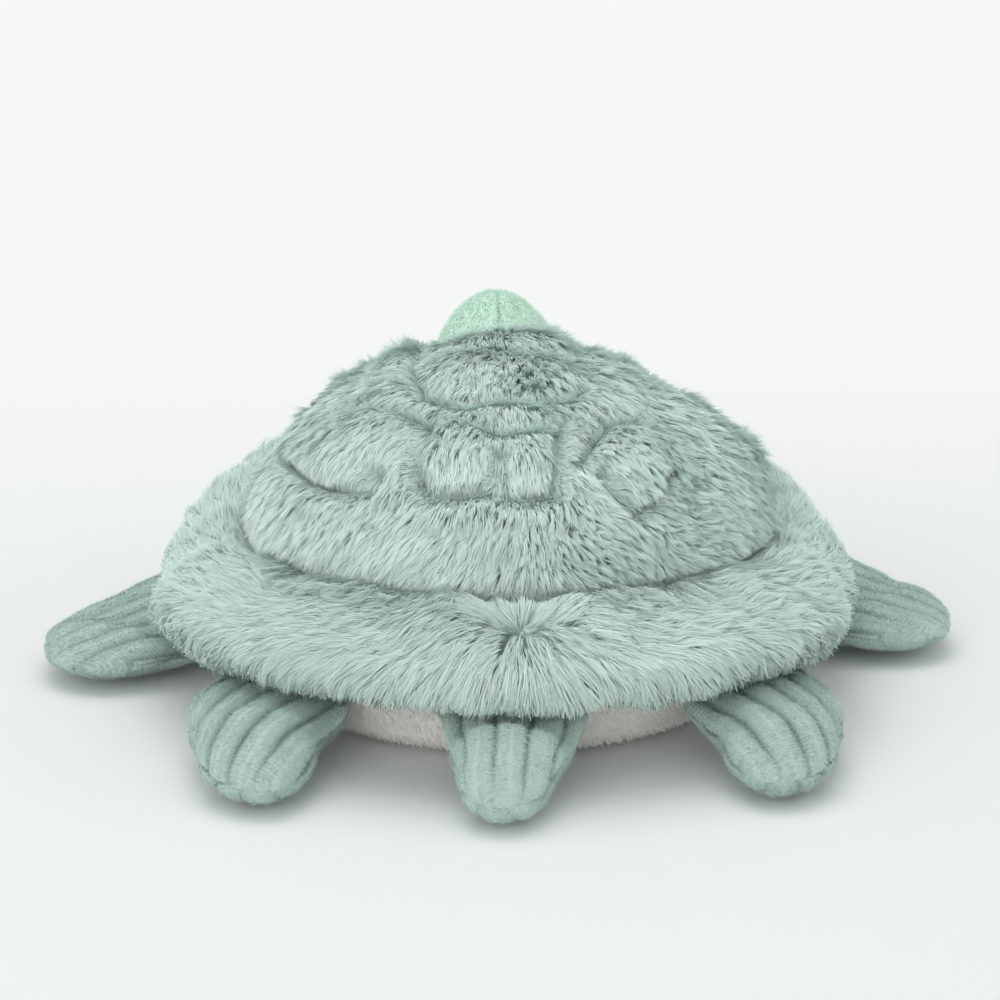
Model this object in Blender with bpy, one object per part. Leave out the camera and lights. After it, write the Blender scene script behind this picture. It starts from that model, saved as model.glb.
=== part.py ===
"""Plush turtle lying on its belly: sewn fabric panels over separate fibre fillings.

Metres, +Z up. The turtle looks along +Y and its left side is at -X. The origin is the middle
of the flat underside, where the toy rests. Bearings are angles seen from above, from +X
towards +Y, so the tail is at a bearing of 270 degrees.
"""

import math

import bmesh
import bpy
import numpy as np
from mathutils import Matrix, Vector

# Clearances
touch_gap = 0.0003
floor_gap = 0.0005
filling_gap = 0.0007

# Fabric thicknesses with their pile
fur_thickness = 0.009
plush_thickness = 0.003
ribbed_thickness = 0.0024

# Domed shell: half an ellipsoid on a round plan
shell_radius = 0.091
shell_rise = 0.070
shell_base_height = 0.050
shell_hem_height = 0.014
shell_hem_bevel_share = 0.35
scute_radius = 0.018
scute_rise = 0.0045

# Quilted scutes of the rear half, mirrored on the front: bearing and height over the dome in
# degrees, then shares of their radius and their rise
scute_place_shares = (
    (-131.0, 41.0, 0.95, 0.9),
    (-102.0, 44.0, 0.75, 0.8),
    (-82.0, 41.0, 0.60, 0.6),
    (-54.0, 39.0, 1.00, 1.0),
    (-93.0, 71.0, 1.00, 0.7),
    (-13.0, 28.0, 1.35, 1.4),
    (-170.0, 44.0, 1.00, 0.8),
    (-15.0, 54.0, 0.80, 0.6),
    (-153.0, 64.0, 0.80, 0.6),
)

# Fur roll round the shell: an oval section on a circle that rises over the neck and the tail
rim_width = 0.043
rim_thickness = 0.032
rim_overhang = 0.0105
rim_slope_deg = 35.0
rim_side_height = 0.037
rim_rear_rise = 0.007
rim_front_rise = 0.017
rim_front_rise_end_share = 0.7

# Belly panel: a shallow bowl with a flat bottom, as (radius, height) shares
belly_inset = 0.0025
belly_hem_drop = 0.008
belly_profile_shares = (
    (0.80, 0.0),
    (0.90, 0.04),
    (0.955, 0.14),
    (0.985, 0.34),
    (1.0, 0.62),
    (0.995, 1.0),
)

# Limbs and tail, sewn flat into the body below the roll
limb_root_drop = 0.020
flipper_root_drop = 0.0256
limb_rim_clearance = 0.003
limb_landing_share = 0.98
flipper_landing_share = 1.06
limb_tip_lift_share = 0.8
flipper_length = 0.088
flipper_width = 0.068
flipper_thickness = 0.024
foot_length = 0.073
foot_width = 0.054
foot_thickness = 0.026
tail_length = 0.057
tail_width = 0.0515
tail_thickness = 0.026

# Limb stations as shares of the limb's length, width and thickness
flipper_station_shares = (
    (0.0, 0.80, 0.0),
    (0.045, 0.83, 0.16),
    (0.20, 0.93, 0.46),
    (0.36, 1.0, 0.84),
    (0.54, 1.0, 1.0),
    (0.70, 0.92, 0.92),
    (0.84, 0.76, 0.76),
    (0.95, 0.50, 0.50),
    (1.0, 0.22, 0.0),
)
foot_station_shares = (
    (0.0, 0.86, 0.0),
    (0.045, 0.89, 0.16),
    (0.21, 0.99, 0.45),
    (0.37, 1.0, 0.84),
    (0.53, 0.90, 1.0),
    (0.70, 0.75, 0.97),
    (0.86, 0.58, 0.80),
    (0.96, 0.40, 0.50),
    (1.0, 0.22, 0.0),
)
tail_station_shares = (
    (0.0, 1.0, 0.0),
    (0.05, 1.0, 0.18),
    (0.23, 0.93, 0.52),
    (0.39, 0.84, 0.92),
    (0.56, 0.74, 1.0),
    (0.73, 0.61, 0.90),
    (0.88, 0.45, 0.68),
    (0.965, 0.31, 0.44),
    (1.0, 0.16, 0.0),
)

# Where each limb is sewn on, and how far its tip swings round from straight out, in degrees
flipper_left_bearing_deg = 155.5
flipper_left_swing_deg = 65.0
flipper_right_bearing_deg = 35.0
flipper_right_swing_deg = -62.0
foot_left_bearing_deg = 222.5
foot_left_swing_deg = 41.0
foot_right_bearing_deg = 323.0
foot_right_swing_deg = -43.0
tail_bearing_deg = 271.6
tail_swing_deg = -7.0
limb_straight_share = 0.42
limb_fold_share = 0.82
section_probe_shares = (-1.0, -0.6, 0.0, 0.6, 1.0)

# Head and neck: an egg on a short neck that comes out under the roll
head_reach = 0.1022
head_lift = 0.0515
head_height = 0.062
head_width = 0.054
head_sway = -0.003
cheek_fullness_share = 0.18
neck_root_height = 0.018
neck_pivot_reach = 0.014

# Head stations: along the reach, up the lift, lean in degrees, then shares of half the height
# and half the width
head_station_shares = (
    (0.0, 0.0, 0.0, 0.13, 0.0),
    (0.03, 0.0, 0.0, 0.29, 0.43),
    (0.12, 0.0, 0.0, 0.40, 0.62),
    (0.25, 0.03, 15.0, 0.42, 0.70),
    (0.42, 0.155, 35.0, 0.44, 0.75),
    (0.54, 0.42, 50.0, 0.60, 0.85),
    (0.60, 0.70, 38.0, 0.88, 0.96),
    (0.68, 0.90, 18.0, 1.02, 1.0),
    (0.77, 0.97, 3.0, 1.02, 0.98),
    (0.86, 0.93, -8.0, 0.88, 0.88),
    (0.95, 0.84, -14.0, 0.62, 0.66),
    (1.0, 0.79, -16.0, 0.26, 0.0),
)

# Safety eyes with a stem through the fabric and a washer behind it
eye_radius = 0.0052
eye_bulge = 0.0042
eye_stem_radius = 0.0014
eye_stem_length = 0.0095
eye_washer_radius = 0.0042
eye_washer_thickness = 0.0012
eye_seat_gap = 0.0006
eye_washer_sink = 0.0014
eye_station = 9
eye_turn_share = 0.45

# How finely the forms are divided
around_steps = 24
roll_steps = 9
dome_steps = 7
quilting_fineness = 2
pod_steps = 7
eye_steps = 12
eye_dome_steps = 4


def smooth_step(share):
    """Ease from 0 to 1, level at both ends."""
    held = min(1.0, max(0.0, share))
    return held * held * (3.0 - 2.0 * held)


def rim_height(bearing):
    """Height of the roll's centre line: lowest at the sides, highest over the neck."""
    forward = math.sin(bearing)
    if forward > 0.0:
        return rim_side_height + rim_front_rise * smooth_step(forward / rim_front_rise_end_share)
    return rim_side_height + rim_rear_rise * smooth_step(-forward)


def rim_ring(bearing, inset):
    """One oval section of the roll, drawn in from its fur by inset."""
    slope = math.radians(rim_slope_deg)
    half_width = 0.5 * rim_width - inset
    half_thickness = 0.5 * rim_thickness - inset
    ring = []
    for step in range(roll_steps):
        turn = 2.0 * math.pi * (step + 0.5) / roll_steps
        down_slope = half_width * math.cos(turn)
        off_slope = half_thickness * math.sin(turn)
        outward = down_slope * math.cos(slope) + off_slope * math.sin(slope)
        upward = off_slope * math.cos(slope) - down_slope * math.sin(slope)
        radius = shell_radius + rim_overhang + outward
        ring.append((
            radius * math.cos(bearing),
            radius * math.sin(bearing),
            rim_height(bearing) + upward,
        ))
    return ring


def rim_underside(x, y):
    """Height of the roll's underside over a point of the floor, or None clear of the roll."""
    slope = math.radians(rim_slope_deg)
    cosine = math.cos(slope)
    sine = math.sin(slope)
    wide = (0.5 * rim_width) ** -2
    thick = (0.5 * rim_thickness) ** -2
    offset = math.hypot(x, y) - (shell_radius + rim_overhang)
    square = sine * sine * wide + cosine * cosine * thick
    middle = 2.0 * cosine * sine * (thick - wide) * offset
    rest = (cosine * cosine * wide + sine * sine * thick) * offset * offset - 1.0
    inside_root = middle * middle - 4.0 * square * rest
    if inside_root < 0.0:
        return None
    return rim_height(math.atan2(y, x)) - (middle + math.sqrt(inside_root)) / (2.0 * square)


def dome_direction(bearing, angle):
    """The way from the dome's middle to a place on it, at length 1."""
    level = math.cos(angle)
    return Vector((level * math.cos(bearing), level * math.sin(bearing), math.sin(angle)))


def scute_height(bearing, angle):
    """How far the filled scutes stand out over a place on the dome."""
    place = dome_direction(bearing, angle)
    height = 0.0
    for bearing_deg, up_deg, radius_share, rise_share in scute_place_shares:
        up = math.radians(up_deg)
        for mirrored in (1.0, -1.0):
            turn = mirrored * math.radians(bearing_deg)
            middle = dome_direction(turn, up)
            reach_share = (place - middle).length * shell_radius / (scute_radius * radius_share)
            height = max(height, scute_rise * rise_share * (1.0 - reach_share * reach_share))
    return height


def shell_point(bearing, up_share, inset, quilted=False):
    """A point on the dome, from its hem in the roll at 0 to its top at 1."""
    hem_height = rim_height(bearing) + shell_hem_height + shell_hem_bevel_share * inset
    hem_angle = math.asin((hem_height - shell_base_height) / (shell_rise - inset))
    angle = hem_angle + (0.5 * math.pi - hem_angle) * up_share
    puff = scute_height(bearing, angle) if quilted else 0.0
    radius = (shell_radius + puff - inset) * math.cos(angle)
    if up_share == 1.0:
        radius = 0.0
    height = shell_base_height + (shell_rise + puff - inset) * math.sin(angle)
    return (radius * math.cos(bearing), radius * math.sin(bearing), height)


def belly_radius():
    """Outer radius of the body under the roll."""
    return shell_radius - belly_inset


def belly_ring(shares, inset):
    """One level of the belly's bowl, raised and drawn in from its outside by inset."""
    radius_share, height_share = shares
    ring = []
    for step in range(around_steps):
        bearing = 2.0 * math.pi * step / around_steps
        radius = radius_share * (belly_radius() - inset)
        hem_height = rim_height(bearing) - belly_hem_drop
        height = inset + height_share * (hem_height - inset)
        ring.append((radius * math.cos(bearing), radius * math.sin(bearing), height))
    return ring


def new_object(name, model, material):
    """Turn a finished bmesh into a named object with one material."""
    bmesh.ops.remove_doubles(model, verts=model.verts, dist=touch_gap / 100.0)
    bmesh.ops.triangulate(model, faces=model.faces)
    bmesh.ops.recalc_face_normals(model, faces=model.faces)
    mesh = bpy.data.meshes.new(name)
    model.to_mesh(mesh)
    model.free()
    if mesh_volume(mesh) < 0.0:
        mesh.flip_normals()
    mesh.shade_smooth()
    body = bpy.data.objects.new(name, mesh)
    bpy.context.collection.objects.link(body)
    if material is not None:
        mesh.materials.append(material)
    return body


def mesh_volume(mesh):
    """Signed volume of a closed triangle mesh, positive when its faces point out."""
    total = 0.0
    for face in mesh.polygons:
        first, second, third = (mesh.vertices[index].co for index in face.vertices)
        total += first.dot(second.cross(third)) / 6.0
    return total


def add_grid(model, rows, wrap_rows, wrap_columns):
    """Vertices and quads of a grid of points, closed on itself where asked."""
    verts = [[model.verts.new(point) for point in row] for row in rows]
    row_total = len(verts)
    column_total = len(verts[0])
    for row in range(row_total if wrap_rows else row_total - 1):
        for column in range(column_total if wrap_columns else column_total - 1):
            next_row = (row + 1) % row_total
            next_column = (column + 1) % column_total
            model.faces.new((
                verts[row][column],
                verts[row][next_column],
                verts[next_row][next_column],
                verts[next_row][column],
            ))
    return verts


def border(verts):
    """The vertices round the edge of an open grid, in order."""
    top = verts[0]
    right = [row[-1] for row in verts[1:]]
    bottom = verts[-1][-2::-1]
    left = [row[0] for row in verts[-2:0:-1]]
    return top + right + bottom + left


def bridge(model, first_loop, second_loop):
    """Quads between two closed loops of equal length."""
    total = len(first_loop)
    for index in range(total):
        after = (index + 1) % total
        model.faces.new((first_loop[index], first_loop[after], second_loop[after], second_loop[index]))


def thick_sheet(name, outer_rows, inner_rows, material):
    """A panel of fabric: two open grids joined round their edges."""
    model = bmesh.new()
    outer = add_grid(model, outer_rows, False, False)
    inner = add_grid(model, inner_rows, False, False)
    bridge(model, border(outer), border(inner))
    return new_object(name, model, material)


def thick_tube(name, outer_rings, inner_rings, material):
    """A sleeve of fabric: two tubes joined at both ends."""
    model = bmesh.new()
    outer = add_grid(model, outer_rings, False, True)
    inner = add_grid(model, inner_rings, False, True)
    bridge(model, outer[0], inner[0])
    bridge(model, outer[-1], inner[-1])
    return new_object(name, model, material)


def closed_ring(name, rings, material):
    """A stuffed ring: sections joined all the way round."""
    model = bmesh.new()
    add_grid(model, rings, True, True)
    return new_object(name, model, material)


def capped_loft(name, rings, material):
    """A solid through closed sections, with a flat cap at each end."""
    model = bmesh.new()
    verts = add_grid(model, rings, False, True)
    model.faces.new(verts[0])
    model.faces.new(verts[-1])
    return new_object(name, model, material)


def make_material(name, colour, roughness, metallic=0.0):
    """A plain surface with its colour, roughness and metallic value."""
    material = bpy.data.materials.new(name)
    material.use_nodes = True
    shader = material.node_tree.nodes["Principled BSDF"]
    shader.inputs["Base Color"].default_value = (*colour, 1.0)
    shader.inputs["Roughness"].default_value = roughness
    shader.inputs["Metallic"].default_value = metallic
    return material


def cut(body, cutter):
    """Take a hidden cutter's space out of a body."""
    cutter.hide_render = True
    cutter.display_type = "WIRE"
    modifier = body.modifiers.new("cut_" + cutter.name, "BOOLEAN")
    modifier.operation = "DIFFERENCE"
    modifier.solver = "EXACT"
    modifier.object = cutter


def shifted(rows, shift):
    """Move every point of a grid by the same step."""
    return [[tuple(np.add(point, shift)) for point in row] for row in rows]


def side_bearings(side, fineness=1):
    """Bearings from the rear seam round one side to the front seam, side being -1 or 1."""
    half_steps = fineness * around_steps // 2
    return [side * (-0.5 * math.pi + math.pi * step / half_steps) + (0.0 if side > 0 else math.pi)
            for step in range(half_steps + 1)]


def make_shell(materials):
    """Two fur panels that meet along the back, and the filling of the whole body."""
    steps = dome_steps * quilting_fineness
    for side, word in ((-1, "left"), (1, "right")):
        layers = []
        for inset, quilted in ((0.0, True), (fur_thickness, False)):
            rows = [[shell_point(bearing, step / steps, inset, quilted) for step in range(steps + 1)]
                    for bearing in side_bearings(side, quilting_fineness)]
            layers.append(shifted(rows, (0.5 * side * touch_gap, 0.0, 0.0)))
        panel = thick_sheet("shell_panel_" + word, layers[0], layers[1], materials["sage_fur"])
        cut(panel, bpy.data.objects["roll_space"])
    rings = [belly_ring(shares, plush_thickness + touch_gap) for shares in belly_profile_shares]
    for step in range(dome_steps):
        rings.append([
            shell_point(2.0 * math.pi * turn / around_steps, step / dome_steps, fur_thickness + touch_gap)
            for turn in range(around_steps)
        ])
    filling = capped_loft("body_stuffing", rings, materials["fibre_fill"])
    cut(filling, bpy.data.objects["roll_space"])


def make_rim(materials):
    """The roll: a fur sleeve in two halves round a ring of filling, and the space it takes."""
    for side, word in ((-1, "left"), (1, "right")):
        layers = []
        for inset in (0.0, fur_thickness):
            rings = [rim_ring(bearing, inset) for bearing in side_bearings(side)]
            layers.append(shifted(rings, (0.5 * side * touch_gap, 0.0, 0.0)))
        thick_tube("rim_cover_" + word, layers[0], layers[1], materials["sage_fur"])
    bearings = [2.0 * math.pi * step / around_steps for step in range(around_steps)]
    filling_rings = [rim_ring(bearing, fur_thickness + touch_gap) for bearing in bearings]
    closed_ring("rim_stuffing", filling_rings, materials["fibre_fill"])
    space_rings = [rim_ring(bearing, -touch_gap) for bearing in bearings]
    closed_ring("roll_space", space_rings, None)


def make_belly(materials):
    """The short-pile bowl under the body, open at the top."""
    outer_rings = [belly_ring(shares, 0.0) for shares in belly_profile_shares]
    inner_rings = [belly_ring(shares, plush_thickness) for shares in reversed(belly_profile_shares)]
    panel = capped_loft("belly_panel", outer_rings + inner_rings, materials["cream_plush"])
    cut(panel, bpy.data.objects["roll_space"])


def limb_root(bearing_deg, root_drop):
    """The middle of the seam where a limb is sewn to the body, which is also its hinge."""
    bearing = math.radians(bearing_deg)
    reach = belly_radius() + touch_gap
    height = rim_height(bearing) - root_drop
    return Vector((reach * math.cos(bearing), reach * math.sin(bearing), height))


def limb_sections(bearing_deg, swing_deg, sizes, settling, station_shares):
    """Sections of a limb as (centre, across, normal, half across, half normal, fullness)."""
    length, width, thickness = sizes
    root_drop, landing_share = settling
    tip_bearing = math.radians(bearing_deg + swing_deg)
    root = limb_root(bearing_deg, root_drop)
    root_height = root.z
    root.z = 0.0
    bend = root + root.normalized() * limb_straight_share * length
    tip = root + Vector((math.cos(tip_bearing), math.sin(tip_bearing), 0.0)) * length
    sections = []
    for along, width_share, thickness_share in station_shares:
        before = 1.0 - along
        plan = root * before * before + bend * 2.0 * before * along + tip * along * along
        heading = (bend - root) * before + (tip - bend) * along
        across = Vector((-heading.y, heading.x, 0.0)).normalized()
        half_thickness = 0.5 * thickness * thickness_share
        half_width = 0.5 * width * width_share
        inner_width, inner_side = width_inside_bend(heading, root - bend * 2.0 + tip, half_width)
        plan = plan + across * inner_side * 0.5 * (inner_width - half_width)
        half_width = 0.5 * (inner_width + half_width)
        fall = 1.0 - smooth_step(along / landing_share)
        lying_height = 0.5 * thickness * limb_tip_lift_share
        middle = max(half_thickness + floor_gap, root_height * fall + lying_height * (1.0 - fall))
        underside = middle - half_thickness
        top = min(middle + half_thickness, room_under_rim(plan, across * half_width))
        centre = Vector((plan.x, plan.y, 0.5 * (top + underside)))
        sections.append((centre, across, Vector((0.0, 0.0, 1.0)), half_width, 0.5 * (top - underside), 0.0))
    return sections


def width_inside_bend(heading, turning, half_width):
    """How wide a limb is inside its bend without folding over, and on which side that is."""
    crossed = heading.x * turning.y - heading.y * turning.x
    if crossed == 0.0:
        return half_width, 0.0
    bend_radius = 2.0 * heading.length ** 3 / abs(crossed)
    return min(half_width, limb_fold_share * bend_radius), math.copysign(1.0, crossed)


def room_under_rim(plan, half_across):
    """The highest that a limb may reach over its section's width and still flex under the roll."""
    room = math.inf
    for share in section_probe_shares:
        probe = plan + half_across * share
        above = rim_underside(probe.x, probe.y)
        if above is not None:
            room = min(room, above - limb_rim_clearance)
    return room


def neck_root():
    """The point of the body that the neck's root end stands against."""
    return Vector((0.0, belly_radius() + touch_gap, neck_root_height))


def head_sections():
    """Sections from the neck's root, where it meets the body, to the snout."""
    root = neck_root()
    sections = []
    for along, lift, lean_deg, height_share, width_share in head_station_shares:
        lean = math.radians(lean_deg)
        sway = head_sway * smooth_step(along)
        centre = root + Vector((sway, along * head_reach, lift * head_lift))
        across = Vector((0.0, -math.sin(lean), math.cos(lean)))
        half_height = 0.5 * head_height * height_share
        half_width = 0.5 * head_width * width_share
        sections.append((centre, across, Vector((1.0, 0.0, 0.0)), half_height, half_width,
                         cheek_fullness_share))
    return sections


def pod_point(section, turn, inset, seam_shift):
    """A point of a section: turn runs over one half, from seam to seam."""
    centre, across, normal, half_across, half_normal, fullness = section
    sideways = max(half_across - inset, 0.0) * math.cos(turn)
    outward = max(half_normal - inset, 0.0) * math.sin(turn) * (1.0 - fullness * math.cos(turn))
    point = centre + across * sideways + normal * (outward + seam_shift)
    return (point.x, point.y, max(point.z, floor_gap + inset))


def drawn_in(sections, inset):
    """The same sections, with the first and last moved along the limb by inset."""
    moved = list(sections)
    for end, neighbour in ((0, 1), (-1, -2)):
        centre, across, *shape = sections[end]
        step = sections[neighbour][0] - centre
        share = min(0.5, inset / step.length)
        turned_across = across.lerp(sections[neighbour][1], share).normalized()
        moved[end] = (centre + step * share, turned_across, *shape)
    return moved


def pod_panel(name, sections, facing, fabric, material):
    """Half of a limb's or head's skin, on the side that facing points to, 1 or -1."""
    layers = []
    for inset in (0.0, fabric):
        rows = []
        for centre, across, normal, *shape in drawn_in(sections, inset):
            section = (centre, across, normal * facing, *shape)
            rows.append([
                pod_point(section, math.pi * step / pod_steps, inset, 0.5 * touch_gap)
                for step in range(pod_steps + 1)
            ])
        layers.append(rows)
    return thick_sheet(name, layers[0], layers[1], material)


def pod_stuffing(name, sections, fabric, material):
    """The filling between a limb's or head's two panels."""
    inset = fabric + filling_gap
    rings = []
    for section in sections[1:-1]:
        if section[4] < inset + filling_gap:
            continue
        rings.append([
            pod_point(section, math.pi * step / pod_steps, inset, 0.0)
            for step in range(2 * pod_steps)
        ])
    return capped_loft(name, rings, material)


def hang_on_hinge(name, place, turn_about_z, pieces):
    """Parent the pieces of a moving part to an empty whose X axis is the hinge."""
    hinge = bpy.data.objects.new(name + "_hinge", None)
    hinge.matrix_basis = Matrix.Translation(place) @ Matrix.Rotation(turn_about_z, 4, "Z")
    bpy.context.collection.objects.link(hinge)
    for piece in pieces:
        piece.parent = hinge
        piece.matrix_parent_inverse = hinge.matrix_basis.inverted()


def make_limb(name, bearing_deg, swing_deg, sizes, settling, station_shares, materials):
    """A limb's top panel, under panel and filling."""
    sections = limb_sections(bearing_deg, swing_deg, sizes, settling, station_shares)
    pieces = (
        pod_panel(name + "_top", sections, 1, ribbed_thickness, materials["ribbed_plush"]),
        pod_panel(name + "_under", sections, -1, ribbed_thickness, materials["ribbed_plush"]),
        pod_stuffing(name + "_stuffing", sections, ribbed_thickness, materials["fibre_fill"]),
    )
    hang_on_hinge(name, limb_root(bearing_deg, settling[0]), math.radians(bearing_deg - 90.0), pieces)


def make_limbs(materials):
    """Two front flippers, two hind feet and the tail."""
    flipper_sizes = (flipper_length, flipper_width, flipper_thickness)
    foot_sizes = (foot_length, foot_width, foot_thickness)
    tail_sizes = (tail_length, tail_width, tail_thickness)
    flipper_settling = (flipper_root_drop, flipper_landing_share)
    limb_settling = (limb_root_drop, limb_landing_share)
    places = (
        ("front_flipper_left", flipper_left_bearing_deg, flipper_left_swing_deg, flipper_sizes,
         flipper_settling, flipper_station_shares),
        ("front_flipper_right", flipper_right_bearing_deg, flipper_right_swing_deg, flipper_sizes,
         flipper_settling, flipper_station_shares),
        ("hind_foot_left", foot_left_bearing_deg, foot_left_swing_deg, foot_sizes,
         limb_settling, foot_station_shares),
        ("hind_foot_right", foot_right_bearing_deg, foot_right_swing_deg, foot_sizes,
         limb_settling, foot_station_shares),
        ("tail", tail_bearing_deg, tail_swing_deg, tail_sizes, limb_settling, tail_station_shares),
    )
    for name, bearing_deg, swing_deg, sizes, settling, station_shares in places:
        make_limb(name, bearing_deg, swing_deg, sizes, settling, station_shares, materials)


def eye_frame(sections, facing):
    """The eye's seat on one cheek: its matrix has +Z out of the fabric."""
    middle = sections[eye_station][0].x
    turn = math.pi * eye_turn_share
    turn_step = math.pi / pod_steps
    here = Vector(pod_point(sections[eye_station], turn, 0.0, 0.0))
    ahead = Vector(pod_point(sections[eye_station + 1], turn, 0.0, 0.0))
    behind = Vector(pod_point(sections[eye_station - 1], turn, 0.0, 0.0))
    higher = Vector(pod_point(sections[eye_station], turn - turn_step, 0.0, 0.0))
    lower = Vector(pod_point(sections[eye_station], turn + turn_step, 0.0, 0.0))
    outward = (ahead - behind).cross(higher - lower).normalized()
    if outward.x < 0.0:
        outward.negate()
    seat = here + outward * eye_seat_gap
    seat.x = middle + (seat.x - middle) * facing
    outward.x *= facing
    turn_to = outward.to_track_quat("Z", "Y").to_matrix().to_4x4()
    return Matrix.Translation(seat) @ turn_to


def turned(name, profile, matrix, material):
    """A round solid from (radius, height) pairs, turned about its own +Z."""
    rings = []
    for radius, height in profile:
        ring = []
        for step in range(eye_steps):
            turn = 2.0 * math.pi * step / eye_steps
            local = Vector((radius * math.cos(turn), radius * math.sin(turn), height))
            ring.append(tuple(matrix @ local))
        rings.append(ring)
    return capped_loft(name, rings, material)


def make_eyes(sections, materials):
    """Domed eyes, their washers, and the holes and hollows that hold them."""
    washer_top = -(eye_seat_gap + plush_thickness + eye_washer_sink)
    washer_bottom = washer_top - eye_washer_thickness
    stem_bore = eye_stem_radius + touch_gap
    pieces = []
    for facing, word in ((-1, "left"), (1, "right")):
        matrix = eye_frame(sections, facing)
        profile = [(eye_stem_radius, -eye_stem_length), (eye_stem_radius, 0.0)]
        for step in range(eye_dome_steps):
            angle = 0.5 * math.pi * step / eye_dome_steps
            profile.append((eye_radius * math.cos(angle), eye_bulge * math.sin(angle)))
        profile.append((eye_stem_radius, eye_bulge))
        eye = turned("eye_" + word, profile, matrix, materials["eye_black"])
        washer_rings = (
            (stem_bore, washer_bottom),
            (eye_washer_radius, washer_bottom),
            (eye_washer_radius, washer_top),
            (stem_bore, washer_top),
        )
        rows = []
        for step in range(eye_steps):
            turn = 2.0 * math.pi * step / eye_steps
            rows.append([
                tuple(matrix @ Vector((radius * math.cos(turn), radius * math.sin(turn), height)))
                for radius, height in washer_rings
            ])
        washer = closed_ring("eye_washer_" + word, rows, materials["washer_plastic"])
        bore = ((stem_bore, -eye_stem_length - touch_gap), (stem_bore, eye_bulge))
        hole = turned("eye_hole_" + word, bore, matrix, None)
        cut(bpy.data.objects["head_panel_" + word], hole)
        pocket = (
            (eye_washer_radius + touch_gap, -eye_stem_length - touch_gap),
            (eye_washer_radius + touch_gap, eye_bulge),
        )
        hollow = turned("eye_hollow_" + word, pocket, matrix, None)
        cut(bpy.data.objects["head_stuffing"], hollow)
        pieces += [eye, washer, hole, hollow]
    return pieces


def make_head(materials):
    """The two cheeks, which meet along the middle of the head, their filling and the eyes."""
    sections = head_sections()
    pieces = [
        pod_panel("head_panel_left", sections, -1, plush_thickness, materials["mint_plush"]),
        pod_panel("head_panel_right", sections, 1, plush_thickness, materials["mint_plush"]),
        pod_stuffing("head_stuffing", sections, plush_thickness, materials["fibre_fill"]),
    ]
    pieces += make_eyes(sections, materials)
    nod_place = neck_root() + Vector((0.0, neck_pivot_reach, 0.0))
    hang_on_hinge("head", nod_place, 0.0, pieces)


def make_materials():
    """Every fabric, the filling and the plastics."""
    return {
        "sage_fur": make_material("sage_fur", (0.42, 0.55, 0.50), 0.95),
        "ribbed_plush": make_material("ribbed_plush", (0.40, 0.58, 0.52), 0.9),
        "cream_plush": make_material("cream_plush", (0.78, 0.72, 0.66), 0.9),
        "mint_plush": make_material("mint_plush", (0.45, 0.80, 0.66), 0.9),
        "fibre_fill": make_material("fibre_fill", (0.88, 0.88, 0.86), 1.0),
        "eye_black": make_material("eye_black", (0.01, 0.01, 0.01), 0.12),
        "washer_plastic": make_material("washer_plastic", (0.75, 0.75, 0.73), 0.5),
    }


def main():
    for old in list(bpy.data.objects):
        bpy.data.objects.remove(old, do_unlink=True)
    materials = make_materials()
    make_rim(materials)
    make_shell(materials)
    make_belly(materials)
    make_limbs(materials)
    make_head(materials)


main()
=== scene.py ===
import math

import bpy
import numpy as np
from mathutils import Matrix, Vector, kdtree


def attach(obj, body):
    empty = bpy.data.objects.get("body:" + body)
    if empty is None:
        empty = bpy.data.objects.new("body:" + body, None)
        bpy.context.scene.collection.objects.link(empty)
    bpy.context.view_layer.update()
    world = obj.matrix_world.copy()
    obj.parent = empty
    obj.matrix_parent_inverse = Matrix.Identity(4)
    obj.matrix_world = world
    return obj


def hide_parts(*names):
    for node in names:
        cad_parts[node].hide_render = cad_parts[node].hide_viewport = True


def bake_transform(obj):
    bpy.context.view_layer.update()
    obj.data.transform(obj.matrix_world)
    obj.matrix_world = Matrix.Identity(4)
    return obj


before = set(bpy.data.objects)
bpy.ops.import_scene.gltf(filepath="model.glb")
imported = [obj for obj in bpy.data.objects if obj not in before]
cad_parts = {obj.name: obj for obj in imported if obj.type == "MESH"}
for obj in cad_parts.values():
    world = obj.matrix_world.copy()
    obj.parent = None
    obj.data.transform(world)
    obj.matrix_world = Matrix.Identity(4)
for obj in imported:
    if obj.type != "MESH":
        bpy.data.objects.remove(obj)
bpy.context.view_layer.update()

# Plush turtle, seen from behind: long combed fur on the shell and its roll, ribbed limbs, an
# off-white belly and a mint head. Metres; the CAD's own frame, with the head at +Y.

rng = np.random.default_rng(20319)

# Camera, at the photograph's angle
camera_elevation = math.radians(17.0)
camera_target = np.array((-0.0017, 0.0, 0.064))
camera_distance = 1.100
focal_pixels = 3201.0
frame_pixels = 1000.0
sensor_width = 36.0

# The solids' own sizes
touch_gap = 0.0003
floor_gap = 0.0005
shell_radius = 0.091
shell_rise = 0.070
shell_base_height = 0.050
shell_hem_height = 0.014
shell_hem_tuck = 0.012
rim_width = 0.043
rim_thickness = 0.032
rim_overhang = 0.0105
rim_slope = math.radians(35.0)
rim_side_height = 0.037
rim_rear_rise = 0.007
rim_front_rise = 0.017
rim_front_rise_end_share = 0.7
belly_inset = 0.0025
belly_hem_drop = 0.008
belly_profile_shares = np.array((
    (0.0, 0.0), (0.80, 0.0), (0.90, 0.04), (0.955, 0.14), (0.985, 0.34), (1.0, 0.62), (0.995, 1.0),
))
root_radius = shell_radius - belly_inset + touch_gap
limb_settling = (0.020, 0.98)
flipper_settling = (0.0256, 1.06)
limb_rim_clearance = 0.0006
limb_tip_lift_share = 0.8
limb_straight_share = 0.42
limb_fold_share = 0.82
flipper_sizes = (0.088, 0.068, 0.024)
foot_sizes = (0.073, 0.054, 0.026)
tail_sizes = (0.057, 0.0515, 0.026)
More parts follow.
